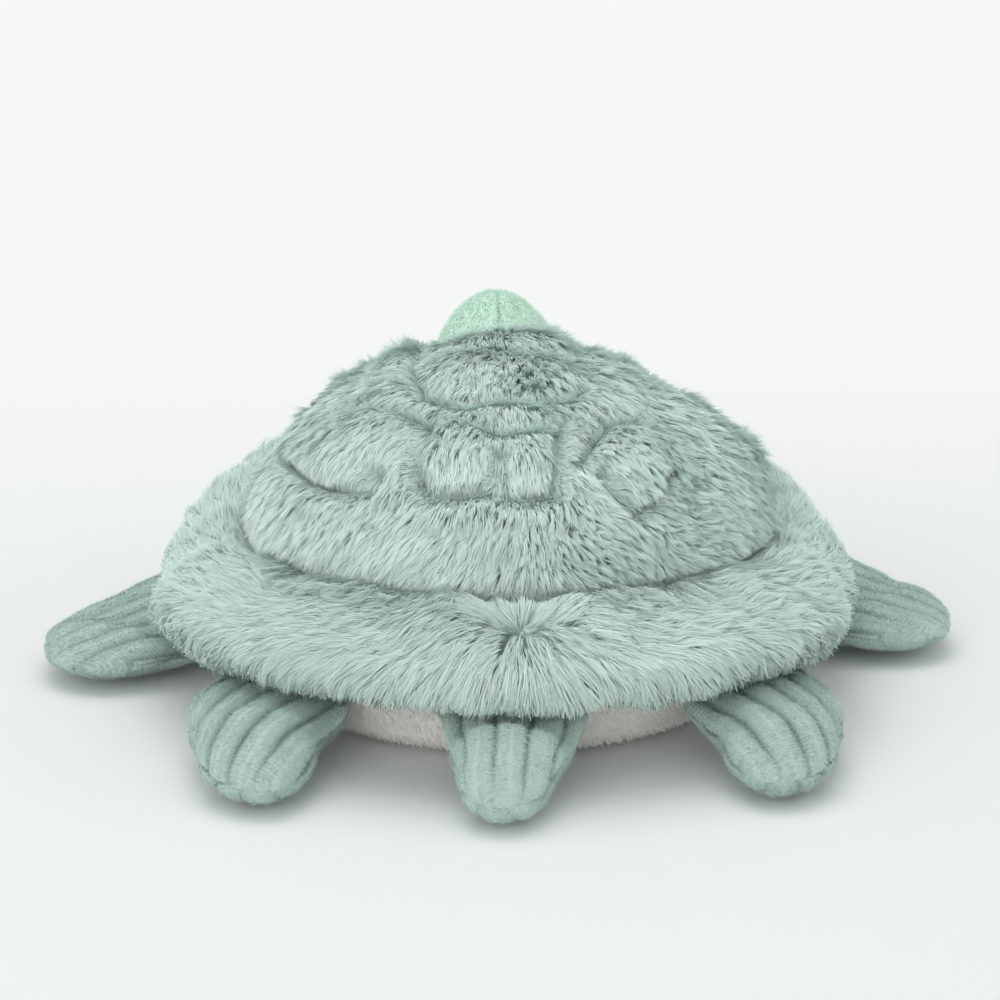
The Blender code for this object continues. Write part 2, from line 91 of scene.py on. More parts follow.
flipper_stations = np.array((
    (0.0, 0.80, 0.0), (0.045, 0.83, 0.16), (0.20, 0.93, 0.46), (0.36, 1.0, 0.84),
    (0.54, 1.0, 1.0), (0.70, 0.92, 0.92), (0.84, 0.76, 0.76), (0.95, 0.50, 0.50), (1.0, 0.22, 0.0),
))
foot_stations = np.array((
    (0.0, 0.86, 0.0), (0.045, 0.89, 0.16), (0.21, 0.99, 0.45), (0.37, 1.0, 0.84),
    (0.53, 0.90, 1.0), (0.70, 0.75, 0.97), (0.86, 0.58, 0.80), (0.96, 0.40, 0.50), (1.0, 0.22, 0.0),
))
tail_stations = np.array((
    (0.0, 1.0, 0.0), (0.05, 1.0, 0.18), (0.23, 0.93, 0.52), (0.39, 0.84, 0.92),
    (0.56, 0.74, 1.0), (0.73, 0.61, 0.90), (0.88, 0.45, 0.68), (0.965, 0.31, 0.44), (1.0, 0.16, 0.0),
))
head_reach = 0.1022
head_lift = 0.0515
head_height = 0.062
head_width = 0.054
head_sway = -0.003
cheek_fullness = 0.18
neck_root_height = 0.018
head_stations = np.array((
    (0.0, 0.0, 0.0, 0.13, 0.0), (0.03, 0.0, 0.0, 0.29, 0.43), (0.12, 0.0, 0.0, 0.40, 0.62),
    (0.25, 0.03, 15.0, 0.42, 0.70), (0.42, 0.155, 35.0, 0.44, 0.75), (0.54, 0.42, 50.0, 0.60, 0.85),
    (0.60, 0.70, 38.0, 0.88, 0.96), (0.68, 0.90, 18.0, 1.02, 1.0), (0.77, 0.97, 3.0, 1.02, 0.98),
    (0.86, 0.93, -8.0, 0.88, 0.88), (0.95, 0.84, -14.0, 0.62, 0.66), (1.0, 0.79, -16.0, 0.26, 0.0),
))

# Rows and columns of the skins
shell_mesh = (120, 300)
roll_mesh = (420, 110)
belly_mesh = (70, 300)
limb_mesh = (320, 200)
head_mesh = (170, 160)

# Long fur: pile, pieces it is cut into, how far it may sink into what it lies on, and strands
# that make a tuft
shell_pile = 0.0084
shell_fur_parts = 6
shell_fur_sink = 0.0010
shell_tuft = 12.0
roll_pile = 0.0115
roll_fur_parts = 8
roll_fur_sink = 0.0030
roll_tuft = 15.0
shell_skin_inset = 0.0058
roll_skin_inset = 0.0062
fur_per_square_mm = 6.4
strand_width = 0.00027
strand_root_depth = 0.0005
trims = 6
trim_share = 0.78

# Ribbed plush, and the short pile of belly and head
rib_pitch = 0.0112
rib_depth = 0.0024
flipper_core_reach = 0.012
striation_pitch = 0.0013
striation_depth = 0.00034
ribbed_skin_inset = 0.0011
ribbed_pile = 0.0016
ribbed_pile_width = 0.00024
ribbed_pile_per_square_mm = 7.0
short_pile = 0.0026
short_skin_inset = 0.0012
belly_pile_width = 0.00045
belly_pile_per_square_mm = 1.6
head_pile_width = 0.00042
head_pile_per_square_mm = 3.0
pile_root_depth = 0.0003

# Place of the hairs on the bake's map
bake_edge = 0.02
bake_span = 0.96
bake_hair_width = 0.004

# Eyes
eye_radius = 0.0052
eye_bulge = 0.0042
eye_stem_radius = 0.0014
eye_stem_length = 0.0095
eye_colour = (0.008, 0.008, 0.008)

# Swirl and parting of the roll's fur, as bearing and as turns round the roll's section
swirl_bearing = math.radians(-87.4)
swirl_turn = math.radians(95.5)
layer_turn = math.radians(130.0)
parting_turn_side = math.radians(172.0)

# Quilting on the shell, as lines in the photograph's pixels, and the mounds between them as
# pixel, radius and height
quilting_lines = (
    ((286, 460), (300, 446), (314, 432), (331, 420), (350, 412), (373, 408), (406, 412), (425, 418),
     (437, 426)),
    ((286, 460), (297, 468), (316, 480), (336, 488), (361, 491), (375, 487), (384, 470)),
    ((437, 426), (429, 440), (421, 457), (422, 476), (430, 493), (460, 493), (491, 489)),
    ((412, 360), (421, 379), (432, 396), (466, 404), (497, 400), (530, 402), (561, 399), (578, 390)),
    ((437, 422), (466, 424), (499, 432), (530, 428), (556, 424)),
    ((574, 459), (586, 446), (603, 421), (631, 417), (650, 423), (668, 435), (685, 457), (690, 482)),
    ((597, 474), (604, 486), (612, 497), (631, 511), (648, 502), (659, 480)),
    ((610, 375), (640, 388), (665, 400), (688, 418), (702, 432), (720, 449)),
    ((502, 452), (500, 474), (504, 493), (530, 497), (552, 492)),
    ((556, 424), (554, 446), (554, 470), (552, 492)),
)
quilting_mounds = (
    ((345, 455), 0.0115, 0.0055), ((380, 442), 0.009, 0.003), ((460, 446), 0.009, 0.0055),
    ((528, 462), 0.0080, 0.0045), ((632, 462), 0.0115, 0.0055), ((500, 376), 0.014, 0.0040),
    ((455, 372), 0.010, 0.003), ((545, 376), 0.010, 0.003), ((415, 352), 0.008, 0.004),
    ((592, 358), 0.009, 0.003), ((735, 455), 0.020, 0.0085), ((318, 400), 0.016, 0.005),
    ((665, 385), 0.010, 0.003), ((715, 470), 0.010, 0.003), ((400, 400), 0.008, 0.0025),
)
side_tuft = (735, 455)
ruffled_spots = (((690, 532), 0.014), ((600, 560), 0.010), ((533, 388), 0.009), ((660, 470), 0.007))
groove_depth = 0.0042
groove_width = 0.0021
overhung_lines = (0, 3, 4, 5, 7)
quilting_pace = 0.0008

# Studio
paper_colour = (0.815, 0.823, 0.820)
haze_colour = (0.925, 0.94, 0.93)
haze_start = 0.05
haze_end = 0.50
sweep_reach = 9.0
sweep_profile = (
    (-9.0, 0.0), (0.9, 0.0), (1.15, 0.03), (1.4, 0.12), (1.6, 0.28), (1.72, 0.5), (1.76, 0.8), (1.78, 3.0),
)
world_colour = (0.93, 0.97, 0.97)
world_strength = 0.87
# Each lamp has its name, place, aim, size, power, colour and spread.
lamps = (
    ("overhead", (-0.15, 0.15, 1.6), (0.0, 0.0, 0.03), 1.3, 7.0, (1.0, 1.0, 1.0), math.pi),
    ("behind_camera", (-0.7, -1.6, 0.55), (0.0, 0.0, 0.05), 1.1, 1.62, (1.0, 0.99, 0.97),
     math.radians(80.0)),
)


# Fields and vectors

def smooth_step(share):
    """Ease from 0 to 1, level at both ends."""
    held = np.clip(share, 0.0, 1.0)
    return held * held * (3.0 - 2.0 * held)


def ease(value, start, width):
    """Ease from 0 at a start to 1 at a width past it."""
    return smooth_step((value - start) / width)


def bump(distance, width):
    """1 at no distance, falling off softly over the width."""
    return np.exp(-(distance / width) ** 2)


def wrapped(angle):
    """The angle within half a turn of 0."""
    return (angle + math.pi) % (2.0 * math.pi) - math.pi


def around(count):
    """Angles evenly round a full turn."""
    return np.linspace(0.0, 2.0 * math.pi, count, endpoint=False)


def running(steps):
    """The running total of steps, from 0."""
    return np.concatenate(((0.0,), np.cumsum(steps)))


def smooth_rows(values, times):
    """Smooth an array from row to row, in place and with its ends held."""
    for _ in range(times):
        values[1:-1] = 0.25 * values[:-2] + 0.5 * values[1:-1] + 0.25 * values[2:]


def lengths(vectors):
    """How long each vector is."""
    return np.linalg.norm(vectors, axis=-1)


def radius_of(points):
    """Each point's distance from the upright axis."""
    return np.hypot(points[..., 0], points[..., 1])


def bearing_of(points):
    """Each point's bearing about the upright axis."""
    return np.arctan2(points[..., 1], points[..., 0])


def unit(vectors):
    """The vectors at length 1."""
    return vectors / np.maximum(np.linalg.norm(vectors, axis=-1, keepdims=True), 1e-12)


def dot(first, second):
    """Row by row scalar products, kept as a column."""
    return np.sum(first * second, axis=-1, keepdims=True)


def flattened(vectors, out):
    """The vectors laid square to the way out, at length 1."""
    return unit(vectors - out * dot(vectors, out))


def turned_by(vectors, axes, angles):
    """Vectors square to their axes, turned about them."""
    return vectors * np.cos(angles)[..., None] + np.cross(axes, vectors) * np.sin(angles)[..., None]


def make_ripple(seed, wavelength, count=7):
    """A smooth field between about -1 and 1, from waves of one length in many directions."""
    own = np.random.default_rng(seed)
    waves = unit(own.normal(size=(count, 3))) * (2.0 * math.pi / wavelength)
    waves *= own.uniform(0.7, 1.4, size=(count, 1))
    phases = own.uniform(0.0, 2.0 * math.pi, size=count)
    return lambda points: np.sin(points @ waves.T + phases).sum(axis=-1) / math.sqrt(count) * 0.8


# Camera rays

camera_back = np.array((0.0, -math.cos(camera_elevation), math.sin(camera_elevation)))
camera_up = np.array((0.0, math.sin(camera_elevation), math.cos(camera_elevation)))
camera_place = camera_target + camera_back * camera_distance


def on_shell(pixel, inset):
    """The point of the dome, drawn in by inset, that the photograph shows at a pixel."""
    across, down = pixel
    heading = np.array((across - frame_pixels / 2.0, 0.0, 0.0)) - camera_back * focal_pixels
    heading = unit(heading - camera_up * (down - frame_pixels / 2.0))
    reach = np.array((shell_radius - inset, shell_radius - inset, shell_rise - inset))
    start = (camera_place - np.array((0.0, 0.0, shell_base_height))) / reach
    step = heading / reach
    half = start @ step
    room = half * half - (step @ step) * (start @ start - 1.0)
    return camera_place + heading * (-half - math.sqrt(max(room, 0.0))) / (step @ step)


# Surfaces, as grids of points

def rim_height(bearing):
    """Height of the roll's centre line."""
    forward = np.sin(bearing)
    front = rim_front_rise * smooth_step(forward / rim_front_rise_end_share)
    return rim_side_height + np.where(forward > 0.0, front, rim_rear_rise * smooth_step(-forward))


def polar(radius, bearing, height):
    """Points at a radius, a bearing and a height."""
    return np.stack((radius * np.cos(bearing), radius * np.sin(bearing), height + 0.0 * radius), -1)


def shell_grid(bearings, shares, inset):
    """The dome from inside the roll, at share 0, to its top."""
    bearing, share = np.meshgrid(bearings, shares)
    hem = rim_height(bearing) + shell_hem_height - shell_hem_tuck
    low = np.arcsin((hem - shell_base_height) / (shell_rise - inset))
    angle = low + (0.5 * math.pi - low) * share
    height = shell_base_height + (shell_rise - inset) * np.sin(angle)
    return polar((shell_radius - inset) * np.cos(angle), bearing, height)


def roll_grid(bearings, turns, inset):
    """The roll: rows round the shell, columns round its section."""
    turn, bearing = np.meshgrid(turns, bearings)
    down_slope = (0.5 * rim_width - inset) * np.cos(turn)
    off_slope = (0.5 * rim_thickness - inset) * np.sin(turn)
    outward = down_slope * math.cos(rim_slope) + off_slope * math.sin(rim_slope)
    upward = off_slope * math.cos(rim_slope) - down_slope * math.sin(rim_slope)
    return polar(shell_radius + rim_overhang + outward, bearing, rim_height(bearing) + upward)


def across_roll(points, inset):
    """Where points are in the roll's section, down its slope and off it, with 1 at the skin."""
    outward = radius_of(points) - shell_radius - rim_overhang
    upward = points[..., 2] - rim_height(bearing_of(points))
    down_slope = outward * math.cos(rim_slope) - upward * math.sin(rim_slope)
    off_slope = outward * math.sin(rim_slope) + upward * math.cos(rim_slope)
    return down_slope / (0.5 * rim_width - inset), off_slope / (0.5 * rim_thickness - inset)


def inside_roll(points, inset):
    """True for points inside the roll drawn in by inset."""
    wide, thick = across_roll(points, inset)
    return wide * wide + thick * thick < 1.0


def inside_body(points, inset):
    """True for points inside the dome or the belly drawn in by inset."""
    above = (points[..., 2] - shell_base_height) / (shell_rise - inset)
    wide = radius_of(points) / (shell_radius - inset)
    return np.where(above > 0.0, wide * wide + above * above < 1.0, wide < 1.0)


def belly_grid(bearings, steps, inset):
    """The bowl, from the middle of its underside up to its hem."""
    knots = running(np.hypot(*np.diff(belly_profile_shares, axis=0).T))
    knots /= knots[-1]
    shares = np.linspace(0.0, 1.0, steps)
    profile = np.stack([np.interp(shares, knots, belly_profile_shares[:, k]) for k in (0, 1)], -1)
    smooth_rows(profile, 3)
    bearing, radius_share = np.meshgrid(bearings, profile[:, 0])
    top = rim_height(bearing) - belly_hem_drop
    height = inset + profile[:, 1:] * (top - inset)
    return polar(radius_share * (shell_radius - belly_inset - inset), bearing, height)


def station_curve(table, column, along):
    """A station share at any place along, through the table's values without corners."""
    knots = table[:, 0]
    values = table[:, column]
    slopes = np.gradient(values, knots)
    index = np.clip(np.searchsorted(knots, along, side="right") - 1, 0, len(knots) - 2)
    width = knots[index + 1] - knots[index]
    share = (along - knots[index]) / width
    square, cube = share ** 2, share ** 3
    return (
        (2.0 * cube - 3.0 * square + 1.0) * values[index]
        + (cube - 2.0 * square + share) * width * slopes[index]
        + (3.0 * square - 2.0 * cube) * values[index + 1]
        + (cube - square) * width * slopes[index + 1]
    )


def rounded_end(table, column, along, last):
    """A station share that closes in a round end from the table's row last on."""
    held = table[last, 0]
    value = station_curve(table, column, np.minimum(along, held))
    return value * np.sqrt(np.clip(1.0 - ((along - held) / (1.0 - held)) ** 2 * (along > held), 0.0, 1.0))


def rim_underside(x, y):
    """Height of the roll's underside over points of the floor, infinite clear of the roll."""
    cosine, sine = math.cos(rim_slope), math.sin(rim_slope)
    wide, thick = (0.5 * rim_width) ** -2, (0.5 * rim_thickness) ** -2
    offset = np.hypot(x, y) - (shell_radius + rim_overhang)
    square = sine * sine * wide + cosine * cosine * thick
    middle = 2.0 * cosine * sine * (thick - wide) * offset
    rest = (cosine * cosine * wide + sine * sine * thick) * offset * offset - 1.0
    inside = middle * middle - 4.0 * square * rest
    root = np.sqrt(np.maximum(inside, 0.0))
    height = rim_height(np.arctan2(y, x)) - (middle + root) / (2.0 * square)
    return np.where(inside < 0.0, np.inf, height)


def limb_grid(bearing_deg, swing_deg, sizes, settling, stations, alongs, turns, inset):
    """A limb's outside: rows from root to tip, columns round it, its top half first."""
    length, width, thickness = sizes
    bearing = math.radians(bearing_deg)
    tip_bearing = math.radians(bearing_deg + swing_deg)
    straight_out = np.array((math.cos(bearing), math.sin(bearing)))
    root = straight_out * root_radius
    bend = root + straight_out * limb_straight_share * length
    tip = root + np.array((math.cos(tip_bearing), math.sin(tip_bearing))) * length
    a = alongs[:, None]
    plan = root * (1.0 - a) ** 2 + bend * 2.0 * (1.0 - a) * a + tip * a * a
    pace = (bend - root) * (1.0 - a) + (tip - bend) * a
    heading = unit(pace)
    across = np.stack((-heading[:, 1], heading[:, 0]), -1)
    half_width = 0.5 * width * rounded_end(stations, 1, alongs, -4)
    half_thickness = 0.5 * thickness * rounded_end(stations, 2, alongs, -4)
    turning = root - bend * 2.0 + tip
    crossed = pace[:, 0] * turning[1] - pace[:, 1] * turning[0]
    bend_radius = 2.0 * lengths(pace) ** 3 / np.maximum(np.abs(crossed), 1e-9)
    inner_width = np.minimum(half_width, limb_fold_share * bend_radius)
    plan = plan + across * (np.sign(crossed) * 0.5 * (inner_width - half_width))[:, None]
    half_width = 0.5 * (inner_width + half_width)
    root_drop, landing_share = settling
    root_height = float(rim_height(np.array(bearing))) - root_drop
    fall = 1.0 - smooth_step(alongs / landing_share)
    lying = 0.5 * thickness * limb_tip_lift_share
    middle = np.maximum(half_thickness + floor_gap, root_height * fall + lying * (1.0 - fall))
    low = middle - half_thickness
    room = np.full(len(alongs), np.inf)
    for share in (-1.0, -0.6, 0.0, 0.6, 1.0):
        probe = plan + across * (half_width * share)[:, None]
        room = np.minimum(room, rim_underside(probe[:, 0], probe[:, 1]) - limb_rim_clearance)
    high = np.minimum(middle + half_thickness, room)
    smooth_rows(high, 80)
    centre = 0.5 * (high + low)
    half_height = np.maximum(0.5 * (high - low) - inset, 0.0)
    half_width = np.maximum(half_width - inset, 0.0)
    sideways = half_width[:, None] * np.cos(turns)
    upward = half_height[:, None] * np.sin(turns)
    flat = plan[:, None, :] + across[:, None, :] * sideways[..., None]
    height = np.maximum(centre[:, None] + upward, floor_gap + inset)
    return np.concatenate((flat, height[..., None]), -1)


def head_grid(alongs, turns, inset):
    """The head and neck: rows from the neck's root to the snout, columns from the crown round."""
    lift = station_curve(head_stations, 1, alongs)
    lean = np.radians(station_curve(head_stations, 2, alongs))
    half_height = 0.5 * head_height * rounded_end(head_stations, 3, alongs, -3) - inset
    half_width = 0.5 * head_width * rounded_end(head_stations, 4, alongs, -3) - inset
    half_height = np.maximum(half_height, 0.0)[:, None]
    half_width = np.maximum(half_width, 0.0)[:, None]
    upward = half_height * np.cos(turns)
    sideways = half_width * np.sin(turns) * (1.0 - cheek_fullness * np.cos(turns))
    sway = head_sway * smooth_step(alongs)
    x = sway[:, None] + sideways
    y = (root_radius + alongs * head_reach)[:, None] - np.sin(lean)[:, None] * upward
    z = (neck_root_height + lift * head_lift)[:, None] + np.cos(lean)[:, None] * upward
    return np.stack((x, y, np.maximum(z, floor_gap + inset)), -1)


class Patch:
    """A grid of points with its directions: down the rows, along the columns and out."""

    def __init__(self, points, wrap_rows, out_sign):
        self.points = points
        self.wrap_rows = wrap_rows
        self.out_sign = out_sign
        self.fields = {}
        self.measure()

    def measure(self):
        padded = np.concatenate((self.points[:, -1:], self.points, self.points[:, :1]), 1)
        self.along_columns = unit(padded[:, 2:] - padded[:, :-2])
        if self.wrap_rows:
            tall = np.concatenate((self.points[-1:], self.points, self.points[:1]), 0)
            self.down_rows = unit(tall[2:] - tall[:-2])
        else:
            self.down_rows = unit(np.gradient(self.points, axis=0))
        self.out = unit(np.cross(self.down_rows, self.along_columns)) * self.out_sign

    def push(self, height):
        """Move every point out by its height, and measure again."""
        self.points = self.points + self.out * height[..., None]
        self.measure()

    def at(self, rows, columns):
        """The point and the way out at any place between the grid's points."""
        low_row, low_column = np.floor(rows).astype(int), np.floor(columns).astype(int)
        v, u = (rows - low_row)[:, None], (columns - low_column)[:, None]
        tall, wide = self.points.shape[:2]
        if self.wrap_rows:
            upper, lower = low_row % tall, (low_row + 1) % tall
        else:
            upper, lower = np.clip(low_row, 0, tall - 1), np.clip(low_row + 1, 0, tall - 1)
        left, right = low_column % wide, (low_column + 1) % wide

        def blend(values):
            return ((values[upper, left] * (1.0 - u) + values[upper, right] * u) * (1.0 - v)
                    + (values[lower, left] * (1.0 - u) + values[lower, right] * u) * v)

        return blend(self.points), unit(blend(self.out))

    def paces(self, places, comb):
        """How many rows and columns a step of one metre along the comb covers."""
        down = lengths(np.diff(self.points, axis=0))
        over = lengths(np.diff(self.points, axis=1, append=self.points[:, :1]))
        row = np.clip(places["row_place"].astype(int), 0, len(down) - 1)
        column = places["column_place"].astype(int) % over.shape[1]
        rows = dot(comb, places["row"])[:, 0] / np.maximum(down[row, column], 1e-6)
        columns = dot(comb, places["column"])[:, 0] / np.maximum(over[row, column], 1e-6)
        return rows, columns

    def corners(self):
        """Point numbers of the four corners of each cell."""
        rows, columns = self.points.shape[:2]
        number = np.arange(rows * columns).reshape(rows, columns)
        if self.wrap_rows:
            number = np.concatenate((number, number[:1]), 0)
        number = np.concatenate((number, number[:, :1]), 1)
        first, second = number[:-1, :-1], number[:-1, 1:]
        third, fourth = number[1:, 1:], number[1:, :-1]
        return np.stack((first.ravel(), second.ravel(), third.ravel(), fourth.ravel()), -1)

    def scatter(self, per_square_mm):
        """Random places, even by area, as a dict of points, directions and fields."""
        corners = self.corners()
        flat = self.points.reshape(-1, 3)
        a, b, c, d = (flat[corners[:, k]] for k in range(4))
        area = 0.5 * (lengths(np.cross(b - a, c - a)) + lengths(np.cross(c - a, d - a)))
        total = np.cumsum(area)
        count = int(total[-1] * 1e6 * per_square_mm)
        cell = np.searchsorted(total, rng.uniform(0.0, total[-1], count))
        cell = np.minimum(cell, len(corners) - 1)
        u = rng.uniform(0.0, 1.0, count)[:, None]
        v = rng.uniform(0.0, 1.0, count)[:, None]
        weights = ((1.0 - u) * (1.0 - v), u * (1.0 - v), u * v, (1.0 - u) * v)

        def blend(values):
            values = values.reshape(len(flat), -1)
            return sum(values[corners[cell, k]] * weights[k] for k in range(4))

        found = {
            "row_place": cell // self.points.shape[1] + v[:, 0],
            "column_place": cell % self.points.shape[1] + u[:, 0],
            "point": blend(self.points),
            "out": unit(blend(self.out)),
            "row": unit(blend(self.down_rows)),
            "column": unit(blend(self.along_columns)),
        }
        for name, values in self.fields.items():
            found[name] = blend(values)[:, 0]
        return found


def chosen(found, keep):
    """Only the places that keep marks."""
    return {name: values[keep] for name, values in found.items()}


# Meshes

def new_piece(name, points, faces, material, fields=None, bake_map=None):
    """A mesh object from arrays of points and of triangles, with its point fields."""
    mesh = bpy.data.meshes.new(name)
    mesh.vertices.add(len(points))
    mesh.vertices.foreach_set("co", np.ascontiguousarray(points, dtype=np.float32).ravel())
    mesh.loops.add(faces.size)
    mesh.loops.foreach_set("vertex_index", np.ascontiguousarray(faces, dtype=np.int32).ravel())
    mesh.polygons.add(len(faces))
    mesh.polygons.foreach_set("loop_start", np.arange(0, faces.size, 3, dtype=np.int32))
    mesh.update(calc_edges=True)
    mesh.shade_smooth()
    for field, values in (fields or {}).items():
        attribute = mesh.attributes.new(field, "FLOAT", "POINT")
        attribute.data.foreach_set("value", np.ascontiguousarray(values, dtype=np.float32))
    if bake_map is not None:
        layer = mesh.uv_layers.new(name="OFBake")
        places = np.ascontiguousarray(bake_map[faces.ravel()], dtype=np.float32)
        layer.uv.foreach_set("vector", places.ravel())
    mesh.materials.append(material)
    piece = bpy.data.objects.new(name, mesh)
    bpy.context.scene.collection.objects.link(piece)
    return piece


def skin(name, patch, material, close_start=False, close_end=False):
    """The patch as a mesh, with its open ends drawn to a point where asked."""
    corners = patch.corners()
    faces = np.concatenate((corners[:, (0, 1, 2)], corners[:, (0, 2, 3)]))
    points = patch.points.reshape(-1, 3)
    fields = {key: values.ravel() for key, values in patch.fields.items()}
    rows, columns = patch.points.shape[:2]
    for close, start in ((close_start, 0), (close_end, (rows - 1) * columns)):
        if not close:
            continue
        ring = np.arange(start, start + columns)
        after = np.roll(ring, -1)
        middle = np.full(columns, len(points))
        fan = np.stack((ring, middle, after) if start == 0 else (ring, after, middle), -1)
        faces = np.concatenate((faces, fan))
        for key in fields:
            fields[key] = np.append(fields[key], fields[key][ring].mean())
        points = np.concatenate((points, points[ring].mean(axis=0)[None]))
    if patch.out_sign > 0.0:
        faces = faces[:, ::-1]
    return new_piece(name, points, faces, material, fields)


def nearest(points, centres):
    """For each point, the number of its nearest centre."""
    tree = kdtree.KDTree(len(centres))
    for number, centre in enumerate(centres):
        tree.insert(centre, number)
    tree.balance()
    return np.array([tree.find(point)[1] for point in points])


# Fur and pile

def strand_places(patch, places, comb, length, lift, bow, follow):
    """The middle and the tip of each strand, bent towards the skin as it grows."""
    half = 0.5 * length
    reach = half * np.cos(lift + bow)
    rise = half * np.sin(lift + bow)
    stations = ((reach, rise), (reach + half * np.cos(lift - bow), rise + half * np.sin(lift - bow)))
    if not follow:
        return [places["point"] + comb * a[:, None] + places["out"] * h[:, None] for a, h in stations]
    rows, columns = patch.paces(places, comb)
    found = []
    for a, h in stations:
        point, out = patch.at(places["row_place"] + rows * a, places["column_place"] + columns * a)
        found.append(point + out * h[:, None])
    return found


def rolled(comb, out, spread):
    """The way across each hair, rolled at random about it."""
    side = unit(np.cross(comb, out))
    roll = rng.normal(0.0, spread, len(side))
    return side * np.cos(roll)[:, None] + out * np.sin(roll)[:, None]


def hairs(name, corners, pattern, alongs, sides, tone, material):
    """Hairs of one form as a piece, each laid on the bake's map at its own tone."""
    count, size = len(tone), len(corners)
    points = np.stack(corners, 1).reshape(-1, 3)
    points[:, 2] = np.maximum(points[:, 2], floor_gap)
    faces = (np.arange(count)[:, None, None] * size + np.array(pattern)).reshape(-1, 3)
    along = np.tile(np.array(alongs), count)
    tone = np.repeat(np.clip(tone, 0.02, 0.98), size)
    aside = np.tile(np.array(sides), count) * bake_hair_width
    bake_map = np.stack((bake_edge + bake_span * tone + aside, bake_edge + bake_span * along), -1)
    return new_piece(name, points, faces, material, {"along": along, "tone": tone}, bake_map)


def fur(name, patch, places, comb, look, tuft, follow, barred):
    """Curved tapering strands combed one way, gathered into tufts and kept out of what bars them."""
    looks = ("length", "lift", "bow", "tone", "gathered", "unruly")
    length, lift, bow, tone, gathered, unruly = (look[key] for key in looks)
    point, out = places["point"], places["out"]
    count = len(point)
    comb = flattened(comb, out)
    picks = rng.choice(count, max(1, int(count / tuft)), replace=False)
    group = nearest(point, point[picks])
    group_turn = rng.normal(0.0, 1.0, len(picks)) * unruly[picks]
    group_lift = rng.normal(0.0, 0.6, len(picks)) * unruly[picks]
    group_length = rng.uniform(0.86, 1.12, len(picks))
    group_tone = rng.uniform(-0.5, 0.5, len(picks))
    comb = turned_by(comb, out, group_turn[group] + rng.normal(0.0, 0.10, count))
    lift = np.clip(lift + group_lift[group] + rng.normal(0.0, 0.09, count), 0.05, 1.5)
    length = length * group_length[group] * rng.uniform(0.78, 1.10, count)
    for _ in range(trims):
        tip = strand_places(patch, places, comb, length, lift, bow, follow)[1]
        length = np.where(barred(tip), trim_share * length, length)
    middle, tip = strand_places(patch, places, comb, length, lift, bow, follow)
    pull = (gathered * rng.uniform(0.5, 1.0, count))[:, None]
    shift = tip[picks][group] - tip
    middle = middle + shift * pull * 0.30
    tip = tip + shift * pull
    half = rolled(comb, out, 0.30) * (0.5 * strand_width)
    root = point - out * strand_root_depth
    corners = (root - half, root + half, middle - half * 0.9, middle + half * 0.9, tip)
    tone = 0.5 + tone + 0.30 * group_tone[group] + rng.normal(0.0, 0.12, count)
    return hairs(
        name, corners, ((0, 1, 3), (0, 3, 2), (2, 3, 4)), (0.0, 0.0, 0.5, 0.5, 1.0),
        (-1.0, 1.0, -1.0, 1.0, 0.0), tone, fur_material)


def fur_in_parts(name, parts, patch, places, comb, look, keep, tuft, follow, barred):
    """Fur as pieces that share the way round between them, only where keep marks it."""
    from_rear = wrapped(bearing_of(places["point"]) + 0.5 * math.pi)
    pieces = []
    for part in range(parts):
        middle_bearing = -math.pi + (part + 0.5) * 2.0 * math.pi / parts
        own = (np.abs(from_rear - middle_bearing) <= math.pi / parts) & keep
        pieces.append(fur(
            "%s_%d" % (name, part + 1), patch, chosen(places, own), comb[own], chosen(look, own), tuft,
            follow, barred))
    return pieces


def fuzz(name, places, comb, length, lift, width, tone, material):
    """Short straight hairs, one triangle each."""
    out = places["out"]
    count = len(out)
    comb = turned_by(flattened(comb, out), out, rng.normal(0.0, 0.35, count))
    angle = np.clip(lift + rng.normal(0.0, 0.18, count), 0.1, 1.5)
    length = length * rng.uniform(0.65, 1.2, count)
    root = places["point"] - out * pile_root_depth
    tip = root + (comb * np.cos(angle)[:, None] + out * np.sin(angle)[:, None]) * length[:, None]
    half = rolled(comb, out, 0.6) * (0.5 * width)
    tone = tone + rng.normal(0.0, 0.07, count)
    return hairs(
        name, (root - half, root + half, tip), ((0, 1, 2),), (0.0, 0.0, 1.0), (-1.0, 1.0, 0.0), tone,
        material)


# Materials

def feed(tree, node, inputs):
    """Give a node's inputs their values, or the sockets that feed them."""
    for key, value in inputs.items():
        if isinstance(value, bpy.types.NodeSocket):
            tree.links.new(value, node.inputs[key])
        else:
            node.inputs[key].default_value = value


def new_node(tree, kind, inputs=None):
    """A shader node with its inputs fed."""
    node = tree.nodes.new("ShaderNode" + kind)
    feed(tree, node, inputs or {})
    return node


def math_node(tree, operation, first, second):
    """The result of an operation on two sockets."""
    node = new_node(tree, "Math", {0: first, 1: second})
    node.operation = operation
    return node.outputs[0]


def ramp(tree, source, stops):
    """A colour ramp fed by a socket."""
    node = new_node(tree, "ValToRGB", {"Fac": source})
    elements = node.color_ramp.elements
    while len(elements) < len(stops):
        elements.new(0.5)
    for element, (place, colour) in zip(elements, stops):
        element.position = place
        element.color = (*colour, 1.0)
    return node.outputs["Color"]


def field(tree, name):
    """A point field of the mesh."""
    node = new_node(tree, "Attribute")
    node.attribute_name = name
    return node.outputs["Fac"]


def new_material(name, roughness, sheen=0.0):
    """A material with its node tree and its shader."""
    material = bpy.data.materials.new(name)
    material.use_nodes = True
    tree = material.node_tree
    shader = tree.nodes["Principled BSDF"]
    feed(tree, shader, {
        "Roughness": roughness, "Specular IOR Level": 0.15, "Sheen Weight": sheen, "Sheen Roughness": 0.5})
    return material, tree, shader


